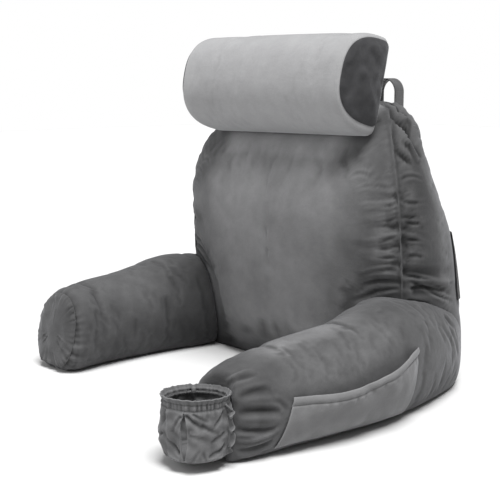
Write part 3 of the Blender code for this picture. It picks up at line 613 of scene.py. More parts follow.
# ================================================================ backrest
# The seam between front panel and gusset, from the middle of the underside to the
# middle of the top: x, z, front and rear edge of the gusset, how far it puffs out,
# how far the rear edge is drawn in, and that edge's depth.
BACK_SEAM = [
    (0.000, 0.000, -0.088, 0.080, 0.000, 0.020, 0.030),
    (0.120, 0.000, -0.088, 0.080, 0.000, 0.020, 0.030),
    (0.225, 0.000, -0.088, 0.082, 0.000, 0.025, 0.032),
    (0.256, 0.022, -0.089, 0.088, 0.006, 0.030, 0.045),
    (0.264, 0.070, -0.091, 0.092, 0.010, 0.038, 0.075),
    (0.267, 0.150, -0.095, 0.089, 0.010, 0.055, 0.095),
    (0.270, 0.240, -0.103, 0.077, 0.010, 0.090, 0.095),
    (0.267, 0.310, -0.107, 0.062, 0.010, 0.118, 0.095),
    (0.255, 0.363, -0.102, 0.051, 0.010, 0.124, 0.095),
    (0.234, 0.410, -0.088, 0.046, 0.010, 0.110, 0.095),
    (0.206, 0.445, -0.063, 0.048, 0.009, 0.085, 0.095),
    (0.160, 0.470, -0.023, 0.052, 0.006, 0.060, 0.095),
    (0.100, 0.480, -0.009, 0.052, 0.004, 0.048, 0.095),
    (0.000, 0.483, -0.006, 0.050, 0.004, 0.044, 0.095),
]
SEAM_STEPS = (4, 4, 6, 10, 16, 56, 44, 34, 32, 30, 30, 20, 16)   # after each row
FIRST_SIDE_STEP = SEAM_STEPS[0] + SEAM_STEPS[1]
FOLD_REACH = 0.095             # how far round the rear edge the folds go
CORNER_SHARE = 0.70            # of the gusset's depth, the most that the rear edge rounds
PANEL_CENTRE_Z = 0.235
FRONT_CROWN = 0.042            # how far the middle of a panel stands out
REAR_CROWN = 0.008
FRONT_FLATNESS = 3.2           # a power: the higher, the flatter the panel's middle
REAR_FLATNESS = 2.0
REAR_EDGE_HOLD = 4             # a power: the higher, the sooner the rear levels off
FOLD_FADE = 0.85               # the share of its rise that a fold loses by its end
FAN_SHOULDER = 0.35
FAR_FROM_SEAM = 0.3            # taken as the distance of the whole rear
# Rings of the front panel and the rear, as shares of the ring at their edge.
PANEL_RINGS = [*np.linspace(0.06, 0.60, 12), *np.linspace(0.62, 0.865, 16)]
REAR_RINGS = np.linspace(1.0, 0.06, 26)[1:]
GUSSET_RINGS = 16
CORNER_RINGS = 22
REAR_BLUR = 14                 # how often the rear's swell is blurred
# Distances from the seam at which the rows next to it run.
SEAM_ROWS = [0.0012, 0.0025, 0.0042, 0.0065, 0.0095, 0.0135, 0.0180, 0.0230, 0.0285]

# Folds of the gusset: height and depth behind the seam at both ends, rise, half-width.
# The upper ones are softer than in the solid, because the fan of folds lies over them.
GUSSET_FOLDS = [
    (0.474, 0.004, 0.445, 0.120, 0.0034, 0.013),
    (0.471, 0.008, 0.426, 0.120, -0.0030, 0.012),
    (0.467, 0.004, 0.405, 0.130, 0.0034, 0.013),
    (0.457, 0.006, 0.392, 0.100, -0.0030, 0.013),
    (0.447, 0.006, 0.372, 0.095, 0.0034, 0.014),
    (0.402, 0.004, 0.376, 0.040, -0.0040, 0.014),
    (0.262, 0.004, 0.252, 0.060, -0.0040, 0.016),
    (0.212, 0.010, 0.198, 0.130, -0.0060, 0.016),
    (0.182, 0.030, 0.168, 0.140, -0.0055, 0.016),
]
# Narrow folds that fan out from where the carry loop is sewn on: heights along the seam and
# distances behind it, rise, half-width.
GUSSET_FAN = [
    ([0.4717, 0.4537, 0.4334, 0.4179, 0.3964], [0.012, 0.016, 0.039, 0.059, 0.070], 0.0054, 0.0036),
    ([0.4716, 0.4555, 0.4378, 0.4241, 0.4087], [0.015, 0.025, 0.046, 0.060, 0.069], -0.008, 0.0042),
    ([0.4730, 0.4639, 0.4518, 0.4356, 0.4114], [0.022, 0.034, 0.051, 0.061, 0.079], 0.0040, 0.0050),
    ([0.4708, 0.446, 0.4334, 0.4229, 0.3935], [0.003, 0.008, 0.020, 0.032, 0.054], -0.0095, 0.0052),
    ([0.4546, 0.448, 0.4323, 0.4192, 0.3861], [0.003, 0.0055, 0.014, 0.024, 0.045], 0.0048, 0.0038),
    ([0.4450, 0.4323, 0.4205, 0.4074], [0.000, 0.001, 0.005, 0.010], -0.0062, 0.0056),
    ([0.4034, 0.3906, 0.3831], [0.009, 0.021, 0.027], -0.0032, 0.0042),
]
# Wrinkles of the front panel: height, reach inwards, rise, half-width.
PANEL_WRINKLES = [
    (0.195, 0.075, -0.0045, 0.012),
    (0.222, 0.060, -0.0040, 0.011),
    (0.252, 0.085, -0.0045, 0.013),
    (0.286, 0.050, -0.0035, 0.012),
    (0.330, 0.045, -0.0030, 0.012),
]
BACK_SHARPNESS = 0.80
# Creases on both sides of the seam, on the side where the cup pouch is, mirrored to the other.
BACK_CREASES = creases_in_mm(
    (180, -128, 359, 202, -119, 369, 229, -115, 355, -1.8, 4.5),
    (194, -129, 340, 220, -119, 350, 251, -109, 347, -1.8, 4),
    (206, -127, 328, 229, -119, 333, 248, -112, 331, 1.2, 4),
    (205, -130, 314, 232, -120, 320, 259, -109, 319, -2.4, 4.2),
    (222, -125, 297, 244, -116, 294, 263, -109, 301, -1.8, 3.6),
    (215, -126, 277, 241, -117, 282, 264, -108, 285, 1.4, 4.5),
    (208, -127, 258, 242, -117, 264, 266, -107, 271, -2.6, 4.4),
    (228, -120, 245, 248, -114, 250, 268, -105, 252, -1.8, 3.4),
    (217, -122, 226, 246, -113, 235, 269, -104, 235, -2.4, 4),
    (198, -125, 202, 238, -114, 214, 270, -101, 214, -3.2, 4.6),
    (203, -122, 184, 236, -113, 196, 267, -100, 196, -3, 4.2),
    (211, -119, 171, 240, -110, 181, 268, -99, 186, -2.8, 4),
    (184, -123, 157, 211, -118, 168, 231, -112, 175, -2.2, 4.8),
    (259, -95, 361, 262, -76, 366, 267, -52, 359, -1.8, 4),
    (267, -100, 330, 272, -82, 324, 275, -50, 325, -1.6, 4),
    (271, -101, 297, 276, -82, 291, 278, -58, 292, -1.6, 3.6),
    (270, -97, 272, 276, -74, 272, 279, -43, 263, 1.4, 3.6),
    (270, -96, 264, 276, -74, 264, 279, -42, 255, -1.8, 3.4),
    (272, -98, 237, 277, -74, 238, 278, -39, 228, -1.4, 4),
    (268, -89, 207, 275, -39, 195, 270, 34, 178, -4, 3.4),
    (271, -82, 197, 273, -47, 184, 276, -5, 169, -2.6, 3.6),
    (271, -84, 184, 272, -58, 184, 275, -26, 178, -2.2, 3.6),
    (273, -46, 181, 276, -6, 162, 266, 50, 140, -3.4, 3.6),
    (277, -8, 140, 274, 18, 124, 272, 41, 106, -2, 4),
    narrowed=BACK_SHARPNESS,
)


def mirrored(creases):
    flip = np.array([-1, 1, 1])
    return [Crease(flip * c.start, flip * c.bow, flip * c.end, c.rise, c.width) for c in creases]


class Seam:
    """The whole seam as arrays, clockwise from the middle of the underside. Run is the
    distance along it from there, up either side, and travel goes on all the way round."""

    def __init__(self, folded):
        self.folded = folded
        half = smooth_rows(BACK_SEAM, SEAM_STEPS)
        half[:, 1] = np.maximum(half[:, 1], 0.0)
        whole = np.vstack([half, (half * [-1, 1, 1, 1, 1, 1, 1])[-2:0:-1]])
        self.x, self.z, self.front, self.rear = whole[:, :4].T
        self.bulge, self.drawn_in, self.rounding = whole[:, 4:].T
        self.depth = self.rear - self.front
        self.corner_depth = np.minimum(self.rounding, CORNER_SHARE * self.depth)
        self.corner_y = self.rear - self.corner_depth
        along = np.roll(whole[:, :2], -1, 0) - np.roll(whole[:, :2], 1, 0)
        along /= np.linalg.norm(along, axis=1)[:, None]
        self.nx, self.nz = along[:, 1], -along[:, 0]
        steps = np.linalg.norm(np.diff(half[:, :2], axis=0), axis=1)
        half_run = np.concatenate([[0.0], np.cumsum(steps)])
        self.run = np.concatenate([half_run, half_run[-2:0:-1]])
        self.travel = np.concatenate([half_run, 2 * half_run[-1] - half_run[-2:0:-1]])
        self.side_steps = slice(FIRST_SIDE_STEP, len(half))
        self.side = half[self.side_steps]
        self.side_run = half_run[self.side_steps]

    def run_at(self, z):
        return np.interp(z, self.side[:, 1], self.side_run)

    def side_value(self, column, z):
        return np.interp(z, self.side[:, 1], self.side[:, column])

    def places(self, behind):
        """Run and distance behind the seam, at one distance or one for each step."""
        return np.stack([self.run, np.broadcast_to(behind, self.run.shape)], 1)


def crown(edge_z, edge_x, x, z, flatness):
    width = np.interp(z, edge_z, edge_x)
    across = np.minimum(1.0, np.abs(x) / np.maximum(np.maximum(width, np.abs(x)), 1e-6))
    reach = np.where(z > PANEL_CENTRE_Z, edge_z[-1] - PANEL_CENTRE_Z, PANEL_CENTRE_Z - edge_z[0])
    up = np.minimum(1.0, np.abs(z - PANEL_CENTRE_Z) / reach)
    return (1 - across ** flatness) * (1 - up ** flatness)


def gusset_lift(seam, depth):
    """Height of the gusset's folds along its whole length, at a depth behind the seam."""
    lift = np.zeros(len(seam.run))
    if not seam.folded:
        return lift
    for z0, d0, z1, d1, rise, half_width in GUSSET_FOLDS:
        start, end = np.array([(seam.run_at(z0), d0), (seam.run_at(z1), d1)])
        away, share = off_segment(seam.places(depth), start, end)
        lift += rise * (1 - FOLD_FADE * share) * bell(away, half_width)
    return lift


def fan_lift(seam, behind):
    """Height of the fan's folds along the seam, at distances behind it."""
    lift = np.zeros(len(seam.run))
    if not seam.folded:
        return lift
    place = seam.places(behind)
    steps = np.linspace(0, 1, 60)
    for heights, depths, rise, half_width in GUSSET_FAN:
        at = steps * (len(heights) - 1)
        curve = np.stack([np.interp(at, range(len(heights)), line)
                          for line in (seam.run_at(heights), depths)], 1)
        apart = np.linalg.norm(place[:, None] - curve[None], axis=2)
        taper = np.sin(np.pi * steps[apart.argmin(1)].clip(0.03, 0.97)) ** 0.6
        shape = crease_shape(apart.min(1) / half_width, FAN_SHOULDER)
        lift += rise * taper * shape * smoothstep(0, 0.003, place[:, 1])
    return lift


def ring_behind(seam, y, out):
    z = np.maximum(0.0, seam.z + seam.nz * out)
    return np.stack([seam.x + seam.nx * out, y, z], 1)


def gusset_ring(seam, station, lift):
    """A ring of the gusset at a station, 0 at the seam and 1 where the rear edge rounds."""
    y = seam.front + (seam.corner_y - seam.front) * station
    lift = lift + fan_lift(seam, y - seam.front)
    return ring_behind(seam, y, seam.bulge * (1 - (1 - station) ** 3) + lift)


def corner_ring(seam, angle, lift):
    """A ring of the rounded rear edge, at an angle from the gusset to the rear."""
    sine, cosine = math.sin(angle), math.cos(angle)
    y = seam.corner_y + seam.corner_depth * sine
    lift = lift + fan_lift(seam, y - seam.front)
    out = seam.bulge - seam.drawn_in * (1 - cosine) + lift * cosine
    return ring_behind(seam, y + lift * sine, out)


def front_ring(seam, ring):
    x = seam.x * ring
    z = PANEL_CENTRE_Z + (seam.z - PANEL_CENTRE_Z) * ring
    front_crown = crown(seam.side[:, 1], seam.side[:, 0], x, z, FRONT_FLATNESS)
    y = seam.side_value(2, z) - FRONT_CROWN * front_crown
    inwards = np.abs(seam.x - x)
    for height, reach, rise, half_width in PANEL_WRINKLES:
        y = y - rise * np.clip(1 - inwards / reach, 0, 1) * bell(z - height, half_width)
    return np.stack([x, y, z], 1)


def rear_ring(seam, edge, ring):
    """A ring of the rear, a share of the ring at its edge."""
    z = PANEL_CENTRE_Z + (edge[:, 2] - PANEL_CENTRE_Z) * ring
    x = edge[:, 0] * ring
    middle = seam.side_value(3, z)
    y = middle + (edge[:, 1] - middle) * ring ** REAR_EDGE_HOLD
    side = edge[seam.side_steps]
    y = y + REAR_CROWN * crown(side[:, 2], side[:, 0], x, z, REAR_FLATNESS)
    return np.stack([x, y, z], 1)


def build_backrest(name, folded):
    """The backrest, and for each vertex its distance from the seam, below 0 behind it, and
    its travel along the seam."""
    seam = Seam(folded)
    radius = np.hypot(seam.x, seam.z - PANEL_CENTRE_Z)
    flat = seam.depth - seam.corner_depth
    base_depth = seam.depth - FOLD_REACH
    rings, distance = [], []

    def add(ring, away):
        rings.append(ring)
        distance.append(np.broadcast_to(away, radius.shape))

    for share in PANEL_RINGS:
        add(front_ring(seam, share), radius * (1 - share))
    for step in SEAM_ROWS[::-1]:
        add(front_ring(seam, 1 - step / radius), step)
    add(gusset_ring(seam, 0.0, 0.0), 0.0)
    for step in SEAM_ROWS:
        station = np.minimum(step / flat, 0.9)
        fade = np.minimum(1.0, station / 0.08)
        add(gusset_ring(seam, station, gusset_lift(seam, base_depth * station) * fade), -step)
    first = station
    for share in np.linspace(0, 1, GUSSET_RINGS)[1:]:
        station = first + (1 - first) * share
        add(gusset_ring(seam, station, gusset_lift(seam, base_depth * station)), -flat * station)
    for angle in np.radians(np.linspace(0, 90, CORNER_RINGS)[1:]):
        lift = gusset_lift(seam, base_depth + FOLD_REACH * angle)
        add(corner_ring(seam, angle, lift), -flat - seam.rounding * angle)
    edge = rings[-1]
    for share in REAR_RINGS:
        add(rear_ring(seam, edge, share), -FAR_FROM_SEAM)
    tips = [front_ring(seam, 0.0)[0], rear_ring(seam, edge, 0.0)[0]]
    obj = closed_loft(name, np.array(rings), np.array(tips))
    distance = np.concatenate([*distance, [FAR_FROM_SEAM, -FAR_FROM_SEAM]])
    return obj, distance, np.concatenate([np.tile(seam.travel, len(rings)), [0.0, 0.0]])


# How strongly the cloth gathers at the seam, by height on the side of the backrest.
PUCKER_HEIGHTS = [(0.00, 0.2), (0.10, 0.5), (0.17, 1.0), (0.30, 1.0), (0.37, 0.45), (0.405, 0.12),
                  (0.475, 0.06)]
PUCKER_RISE = 0.0022


def seam_detail(points, distance, travel):
    """Lift along the normals for the seam's ridge, its stitch groove and short gathers."""
    away = np.abs(distance)
    front = distance > 0
    ridge = 0.0008 * bell(away, 0.0030) - 0.0007 * bell(away - 0.0048, 0.0026)
    strength = np.interp(points[:, 2], *zip(*PUCKER_HEIGHTS))
    place = np.stack([travel, np.zeros(len(travel))], 1)
    fine = np.where(front, waves(place, 0.021, 11), waves(place, 0.024, 12))
    finer = np.where(front, waves(place, 0.011, 13), waves(place, 0.012, 14))
    reach = np.where(front, 0.026, 0.020) * (1.0 + 0.6 * waves(place, 0.05, 15))
    reach = np.maximum(reach, 0.006)
    gathers = (0.75 * fine * np.exp(-(away / reach) ** 1.4)
               + 0.55 * finer * np.exp(-(away / (0.45 * reach)) ** 1.4))
    return ridge + PUCKER_RISE * strength * smoothstep(0.0, 0.006, away) * gathers


def back_nap_and_painted_light(points, distance):
    """The backrest's pile tone and painted light, and how strongly its painted ridges show. Painted
    shade makes it darker by the seam, low down and beside the arms, and behind the seam it is
    darker partly as its pile lies and partly by painted shade. Painted light makes it lighter and
    plainer below the neck roll and up the middle, against the roll's shadow."""
    x, z, front = np.abs(points[:, 0]), points[:, 2], distance > 0
    patchy = distance + 0.020 * waves(points, 0.075, 91) * smoothstep(0.01, 0.05, distance)
    # Painted light up the middle and below the neck roll, against the roll's shadow.
    upper = smoothstep(0.27, 0.36, z) * (1 - smoothstep(0.12, 0.20, x))
    painted_light_below_roll = front * smoothstep(0.35, 0.40, z) * (1 - smoothstep(0.12, 0.18, x))
    # Painted shade beside the arms, low down.
    painted_shade_by_arms = smoothstep(0.07, 0.19, x + 0.6 * (patchy - distance))
    painted_shade_by_arms *= 1 - smoothstep(0.12, 0.30, z)
    # Painted shade by the seam, with an uneven edge, and low down.
    panel = 0.42 + 0.58 * np.maximum(smoothstep(0.010, 0.145, patchy), painted_light_below_roll)
    panel *= 1 + 0.22 * upper + 0.26 * painted_light_below_roll
    panel *= (1 - 0.36 * painted_shade_by_arms) * (0.84 + 0.16 * smoothstep(0.05, 0.22, z))
    # Behind the seam: darker, partly as the pile lies and partly painted shade.
    behind = (0.29 + 0.08 * smoothstep(-0.003, 0.0, distance)
              + 0.18 * smoothstep(0.035, 0.11, -distance))
    ridges = np.where(front, 0.45, 0.80) - 0.40 * painted_light_below_roll
    ridges *= 0.25 + 0.75 * smoothstep(0.003, 0.009, np.abs(distance))
    ridges *= 1 - smoothstep(0.09, 0.15, np.abs(distance))
    return np.where(front, panel, behind), ridges


back_neighbours = trees_of("arm_left", "arm_right", "neck_roll", "neck_roll_end_left",
                           "neck_roll_end_right", "carry_handle", "rear_pocket")
plain_back = build_backrest("plain_back", False)[0]
back_shift = swell_shift(plain_back, back_neighbours, voxel=0.008, growth=0.015)
bpy.data.objects.remove(plain_back)
back, seam_distance, seam_travel = build_backrest("backrest", True)
free_back = freedom(back, back_neighbours)
set_points(back, get_points(back) + back_shift * free_back)
points = get_points(back)
lift = seam_detail(points, seam_distance, seam_travel)[:, None] * np.maximum(free_back, 0.3)
points = points + get_normals(back) * lift
set_points(back, points)
points = creased(points, get_normals(back), BACK_CREASES + mirrored(BACK_CREASES))
rear = smoothstep(0.2, 0.3, -seam_distance)[:, None]
points = points + rear * (blurred(points, get_edges(back), REAR_BLUR) - points)
set_points(back, kept_clear(points, back_neighbours, reach=0.06))
# The backrest's colour gets its painted shade and painted light.
nap_and_painted_light, ridges = back_nap_and_painted_light(get_points(back), seam_distance)
set_nap_and_painted_light(back, nap_and_painted_light, strength=ridges)
dress(back, GREY_BACK, "back_cushion")


# ================================================================ arms
# Gathers of the arm that narrows into the cup pouch.
NOSE_CREASES = creases_in_mm(
    (311, -480, 95, 319, -459, 101, 327, -433, 101, -4, 5),
    (312, -481, 86, 323, -455, 89, 335, -425, 87, 2.4, 4.8),
    (316, -485, 75, 328, -456, 75, 338, -424, 70, -5, 4.6),
    (314, -486, 64, 328, -460, 63, 338, -421, 57, 2.6, 4.6),
    (314, -489, 52, 327, -464, 48, 335, -431, 45, -5.2, 4.4),
    (314, -488, 36, 326, -459, 35, 336, -426, 44, 3.4, 3.4),
    (312, -486, 22, 323, -455, 21, 331, -432, 29, -4.8, 4),
    (310, -483, 12, 315, -463, 9, 320, -445, 11, 2.4, 3.6),
    (289, -472, 107, 300, -460, 117, 307, -441, 120, -3, 4.8),
    (271, -469, 104, 288, -468, 119, 292, -449, 124, 2, 4),
    (330, -439, 90, 337, -422, 79, 339, -414, 67, -1.6, 4),
    (223, -480, 90, 212, -455, 94, 200, -425, 94, -4, 4.8),
    (221, -484, 68, 208, -455, 68, 196, -422, 64, -4.5, 4.6),
    (221, -484, 46, 209, -455, 42, 198, -425, 38, -4.5, 4.4),
    (222, -484, 26, 211, -460, 22, 202, -435, 20, -3.6, 4),
    (240, -474, 104, 232, -452, 116, 224, -430, 121, -3.2, 4.8),
)
# Short creases where the same arm is sewn to the backrest.
ROOT_CREASES = creases_in_mm(
    (302, -29, 139, 304, -18, 128, 304, -1, 112, -3, 5),
    (320, -61, 135, 321, -41, 108, 315, -20, 87, -2.2, 6),
    (326, -110, 150, 329, -107, 143, 332, -102, 137, -1.4, 5.4),
    (297, -124, 171, 300, -110, 168, 310, -108, 163, -1.4, 5.4),
    (299, -193, 167, 303, -188, 167, 301, -174, 170, -1.2, 5.4),
    (311, -18, 112, 311, -9, 91, 310, -4, 66, -2, 5.5),
)
NOSE_HOLD = (0.385, 0.425)     # from here forwards the simulation leaves the pleats alone
END_SEAM_Y = -0.420            # where the end panel is sewn to the other arm
END_CENTRE = (-0.260, 0.075)   # x and z of that panel's middle


def settled(obj, solid):
    """The points of a remeshed copy, without its steps and laid back on its solid."""
    points = blurred(get_points(obj), get_edges(obj), 2)
    for i, point in enumerate(points):
        found = solid.find_nearest(point)
        points[i] = found[0] - found[1] * 0.0002
    return blurred(points, get_edges(obj), 8)


def build_arm(name, node_name, neighbours):
    obj = solid_copy(name, node_name)
    remesh(obj, voxel=0.005)
    points = settled(obj, tree_of(NODES[node_name]))
    set_points(obj, points)
    hold = near_hold(points, neighbours, clearance=0.003)
    if node_name == "arm_right":
        hold = np.maximum(hold, smoothstep(*NOSE_HOLD, -points[:, 1]))
    swell(obj, hold, cap=0.006, growth=0.015)
    modify(obj, "SUBSURF", levels=1)
    points, normals = get_points(obj), get_normals(obj)
    if node_name == "arm_right":
        points = creased(points, normals, NOSE_CREASES + ROOT_CREASES)
    else:
        off = points[:, [0, 2]] - END_CENTRE
        turn = off / np.linalg.norm(off, axis=1)[:, None]
        behind = points[:, 1] - END_SEAM_Y
        lift = (0.0016 * waves(turn, 0.22, 21) * np.exp(-np.maximum(behind, 0) / 0.014)
                - 0.0012 * bell(behind - 0.002, 0.006))
        points = points + normals * lift[:, None]
    set_points(obj, points)
    seat(obj, neighbours, reach=0.02, gap=NEIGHBOUR_GAP)
    return obj


def arm_painted_light(arm, node_name):
    """An arm's painted light: lighter on its left side and top, with a painted highlight along the
    crest of the cup pouch's arm, and painted shade inside towards the backrest.
    """
    y, z = get_points(arm)[:, 1:].T
    out, _, up = get_normals(arm).T
    # Painted light where it faces +X, behind the nose.
    nap_and_painted_light = 0.74 + 0.28 * smoothstep(0.2, 0.9, out) * smoothstep(-0.46, -0.40, y)
    if node_name == "arm_right":
        inside = smoothstep(0.1, 0.8, -out)
        crest = smoothstep(-0.44, -0.38, y) * (1 - smoothstep(-0.30, -0.20, y))
        # Painted highlight along the crest.
        nap_and_painted_light += 0.08 + 0.75 * smoothstep(0.86, 0.995, up) * crest
        # Painted shade towards the backrest.
        nap_and_painted_light *= 1 - 0.22 * smoothstep(-0.24, -0.10, y)
        # At the front: painted light low down, painted shade on the side above.
        front = 1 - smoothstep(-0.42, -0.35, y)
        shade = smoothstep(0.05, 0.08, z) * smoothstep(0.1, 0.5, out)
        nap_and_painted_light *= 1 + front * (0.28 * (1 - smoothstep(0.03, 0.06, z)) - 0.24 * shade)
    else:
        inside = smoothstep(0.1, 0.8, out)
        nap_and_painted_light += 0.16 * smoothstep(0.6, 0.97, up) - 0.07
    # Painted shade inside, towards the backrest.
    return nap_and_painted_light * (1 - 0.45 * inside * smoothstep(-0.36, -0.16, y))


# The reader's right arm is arm_left, because it is on the photo's left.
left_neighbours = trees_of("back_cushion", "arm_left_end_panel")
right_neighbours = trees_of("back_cushion", "cup_pouch", "side_pocket",
                            "pouch_ruffle_outer", "pouch_ruffle_inner")
arm_left = build_arm("arm_right_side", "arm_left", left_neighbours)
arm_right = build_arm("arm_left_side", "arm_right", right_neighbours)
for arm, node_name in ((arm_left, "arm_left"), (arm_right, "arm_right")):
    # The arms' colour gets painted light and painted shade.
    set_nap_and_painted_light(arm, arm_painted_light(arm, node_name), strength=0.36)
    dress(arm, GREY_ARM, node_name)


# ================================================================ arm sections
# y, x, half width, height, skew, squareness of the arm's sections, rear to front.
ARM_SECTIONS = np.array([
    (-0.120, 0.265, 0.082, 0.174, 0.03, 2.6),
    (-0.155, 0.271, 0.082, 0.175, 0.04, 2.5),
    (-0.190, 0.275, 0.081, 0.170, 0.05, 2.45),
    (-0.225, 0.277, 0.079, 0.161, 0.06, 2.4),
    (-0.260, 0.277, 0.077, 0.154, 0.08, 2.35),
    (-0.300, 0.276, 0.075, 0.151, 0.09, 2.3),
    (-0.340, 0.274, 0.074, 0.148, 0.10, 2.25),
    (-0.368, 0.271, 0.073, 0.145, 0.10, 2.2),
    (-0.392, 0.270, 0.071, 0.141, 0.10, 2.2),
    (-0.412, 0.269, 0.070, 0.137, 0.09, 2.25),
    (-0.432, 0.268, 0.068, 0.132, 0.07, 2.3),
])[::-1]
ARM_SINK = 0.012


def arm_outer_x(y, z):
    """x of the outer side of the reader's-left arm."""
    station = y
    for _ in range(4):
        x, half_width, height, skew, square = (
            np.interp(station, ARM_SECTIONS[:, 0], ARM_SECTIONS[:, k]) for k in range(1, 6))
        half_height = (height + ARM_SINK) / 2
        share = np.minimum(0.999, np.abs(z - (height - half_height)) / half_height)
        out = half_width * (1 - share ** square) ** (1 / square)
        station = y + skew * out
    return x + out


# ================================================================ side pocket
# Share of its length from front to rear, height of the hem, and how far the pocket stands out.
POCKET_HEM = [(0.00, 0.086, 0.000), (0.12, 0.085, 0.006), (0.28, 0.084, 0.013),
              (0.45, 0.087, 0.016), (0.62, 0.094, 0.016), (0.78, 0.104, 0.012),
              (0.90, 0.112, 0.006), (1.00, 0.115, 0.000)]
POCKET_FRONT_Y = (-0.428, -0.404)     # of its front and rear edges, at bottom and top
POCKET_REAR_Y = (-0.168, -0.152)
POCKET_LOW_Z = (0.014, 0.010)         # of its lower edge, at front and rear
POCKET_SEAT = 0.0019
POCKET_CLOTH = 0.0018


def build_side_pocket():
    """The pocket's sheet. It billows and ripples, with a hem and a groove of stitches under
    its upper edge and short pulls below them."""
    up, along = np.meshgrid(np.linspace(0, 1, 44), np.linspace(0, 1, 130), indexing="ij")
    hem = smooth_rows(POCKET_HEM, 6)
    hem_z = np.interp(along, hem[:, 0], hem[:, 1])
    puff = np.interp(along, hem[:, 0], hem[:, 2])
    front_y, rear_y = (low + (high - low) * up for low, high in (POCKET_FRONT_Y, POCKET_REAR_Y))
    low_z = POCKET_LOW_Z[0] + (POCKET_LOW_Z[1] - POCKET_LOW_Z[0]) * along
    y = front_y + (rear_y - front_y) * along
    z = low_z + (hem_z - low_z) * up
    x = arm_outer_x(y, z) + POCKET_SEAT + puff * np.sin(up * np.pi / 2) ** 1.3
    grid = np.stack([x, y, z], 2)
    below = hem_z - z
    inner = smoothstep(0, 0.12, along) * smoothstep(0, 0.12, 1 - along) * smoothstep(0, 0.2, up)
    place = grid.reshape(-1, 3)[:, 1:]
    ripple = 0.0016 * waves(place, 0.085, 31) + 0.0007 * waves(place, 0.035, 32)
    pulls = waves(place * [1, 0], 0.012, 33).reshape(y.shape)
    lift = (ripple.reshape(y.shape) + 0.0018) * inner
    lift += 0.0008 * pulls * bell(below - 0.0150, 0.0090) * smoothstep(0, 0.1, along)
    lift += 0.0011 * bell(below - 0.0055, 0.0055) - 0.0013 * bell(below - 0.0118, 0.0020)
    grid = grid + grid_normals(grid, (1, 0, 0)) * lift[:, :, None]
    return cloth_sheet("side_pocket_cloth", grid, POCKET_CLOTH, (1, 0, 0))


pocket = build_side_pocket()
seat(pocket, trees_of("arm_right"), reach=0.01)
# Painted light: lighter along the low edge, by the floor, with painted ridge highlights and valley
# shade.
painted_light_low_edge = 1 - smoothstep(0.014, 0.050, get_points(pocket)[:, 2])
set_nap_and_painted_light(pocket, 1 + 0.14 * painted_light_low_edge, strength=0.22)
dress(pocket, GREY_POCKET, "side_pocket")


# ================================================================ cup pouch
POUCH_X = 0.2695
POUCH_Y = -0.5205
POUCH_RADIUS = 0.049
# Radius, height and how much of the gathers each row takes.
POUCH_ROWS = [
    (0.0380, 0.0140, 0.20), (0.0450, 0.0185, 0.60), (0.0485, 0.0320, 1.00),
    (0.0495, 0.0500, 0.90), (0.0492, 0.0700, 0.90), (0.0488, 0.0835, 1.00),
    (0.0464, 0.0885, 0.25), (0.0466, 0.0970, 0.20), (0.0492, 0.1035, 0.35),
]
POUCH_BASE_ROWS = [(0.0020, 0.0135, 0), (0.0220, 0.0135, 0), (0.0320, 0.0137, 0.1)]
POUCH_MIDDLE = np.array([POUCH_X, POUCH_Y, 0.06])
POUCH_CLOTH = 0.0018
POUCH_COLUMNS = 300
ELASTIC_Z = 0.0925             # the middle of the elastic, with stitches on both sides
STITCHES_Z = (0.0885, 0.0965)
RIM_DROP = 0.0065              # how far the rim sags, and at which angle
RIM_DROP_ANGLE = 135.0
# Deep gathers of its wall: angle, rise and half-width in degrees.
POUCH_GATHERS = [(15, -0.0024, 11), (-8, -0.0012, 11), (-78, -0.0012, 10),
                 (-99, -0.0024, 12), (-120, -0.0012, 10), (-142, -0.0026, 12), (-168, -0.0022, 10)]
# Creases of its cloth: angle and height at both ends, rise, half-width.
POUCH_CREASES = [
    (-50, 0.082, -28, 0.064, -0.0036, 0.0042), (-40, 0.084, -20, 0.074, -0.0030, 0.0038),
    (-27, 0.068, 2, 0.054, -0.0027, 0.0046), (-46, 0.060, -26, 0.056, 0.0024, 0.0040),
    (12, 0.080, -6, 0.066, -0.0039, 0.0040), (14, 0.052, -10, 0.044, -0.0033, 0.0042),
    (16, 0.034, -14, 0.024, -0.0045, 0.0046), (8, 0.020, -24, 0.020, 0.0027, 0.0040),
    (-46, 0.017, -34, 0.034, -0.0030, 0.0044), (-20, 0.015, -26, 0.030, -0.0036, 0.0044),
    (-66, 0.080, -80, 0.058, -0.0030, 0.0040), (-70, 0.030, -92, 0.044, -0.0039, 0.0044),
    (-72, 0.018, -96, 0.026, 0.0033, 0.0040), (-98, 0.082, -106, 0.062, -0.0033, 0.0044),
    (-108, 0.050, -128, 0.040, -0.0042, 0.0046), (-104, 0.016, -120, 0.034, -0.0039, 0.0044),
    (-150, 0.078, -132, 0.058, -0.0036, 0.0044), (-146, 0.022, -168, 0.034, -0.0039, 0.0046),
]
SLIT_ANGLE = -58.0
SLIT_HALF_WIDTH = 0.0055
SLIT_Z = (0.0185, 0.0835)
SLIT_END = 0.003


def pouch_lumps(angles, z):
    """How far the loose cloth stands out at angles in degrees (columns) and heights (rows)."""
    spots = np.stack(np.broadcast_arrays(*(POUCH_RADIUS * circle(angles).T), z), -1)
    spots = spots.reshape(-1, 3)
    lumps = 0.0020 * waves(spots, 0.040, 44) + 0.0010 * waves(spots, 0.018, 45)
    loose = smoothstep(0.012, 0.026, z) * (1 - smoothstep(0.074, 0.086, z))
    lift = lumps.reshape(len(z), -1) * loose
    place = np.stack(np.broadcast_arrays(POUCH_RADIUS * np.radians(angles), z), -1)
    for angle0, z0, angle1, z1, rise, half in POUCH_CREASES:
        for turn in (-360, 0, 360):
            start, end = (np.array([math.radians(angle + turn) * POUCH_RADIUS, height])
                          for angle, height in ((angle0, z0), (angle1, z1)))
            away, share = off_segment(place, start, end)
            lift = lift + rise * bell(away, half) * (1 - 0.6 * share)
    return lift


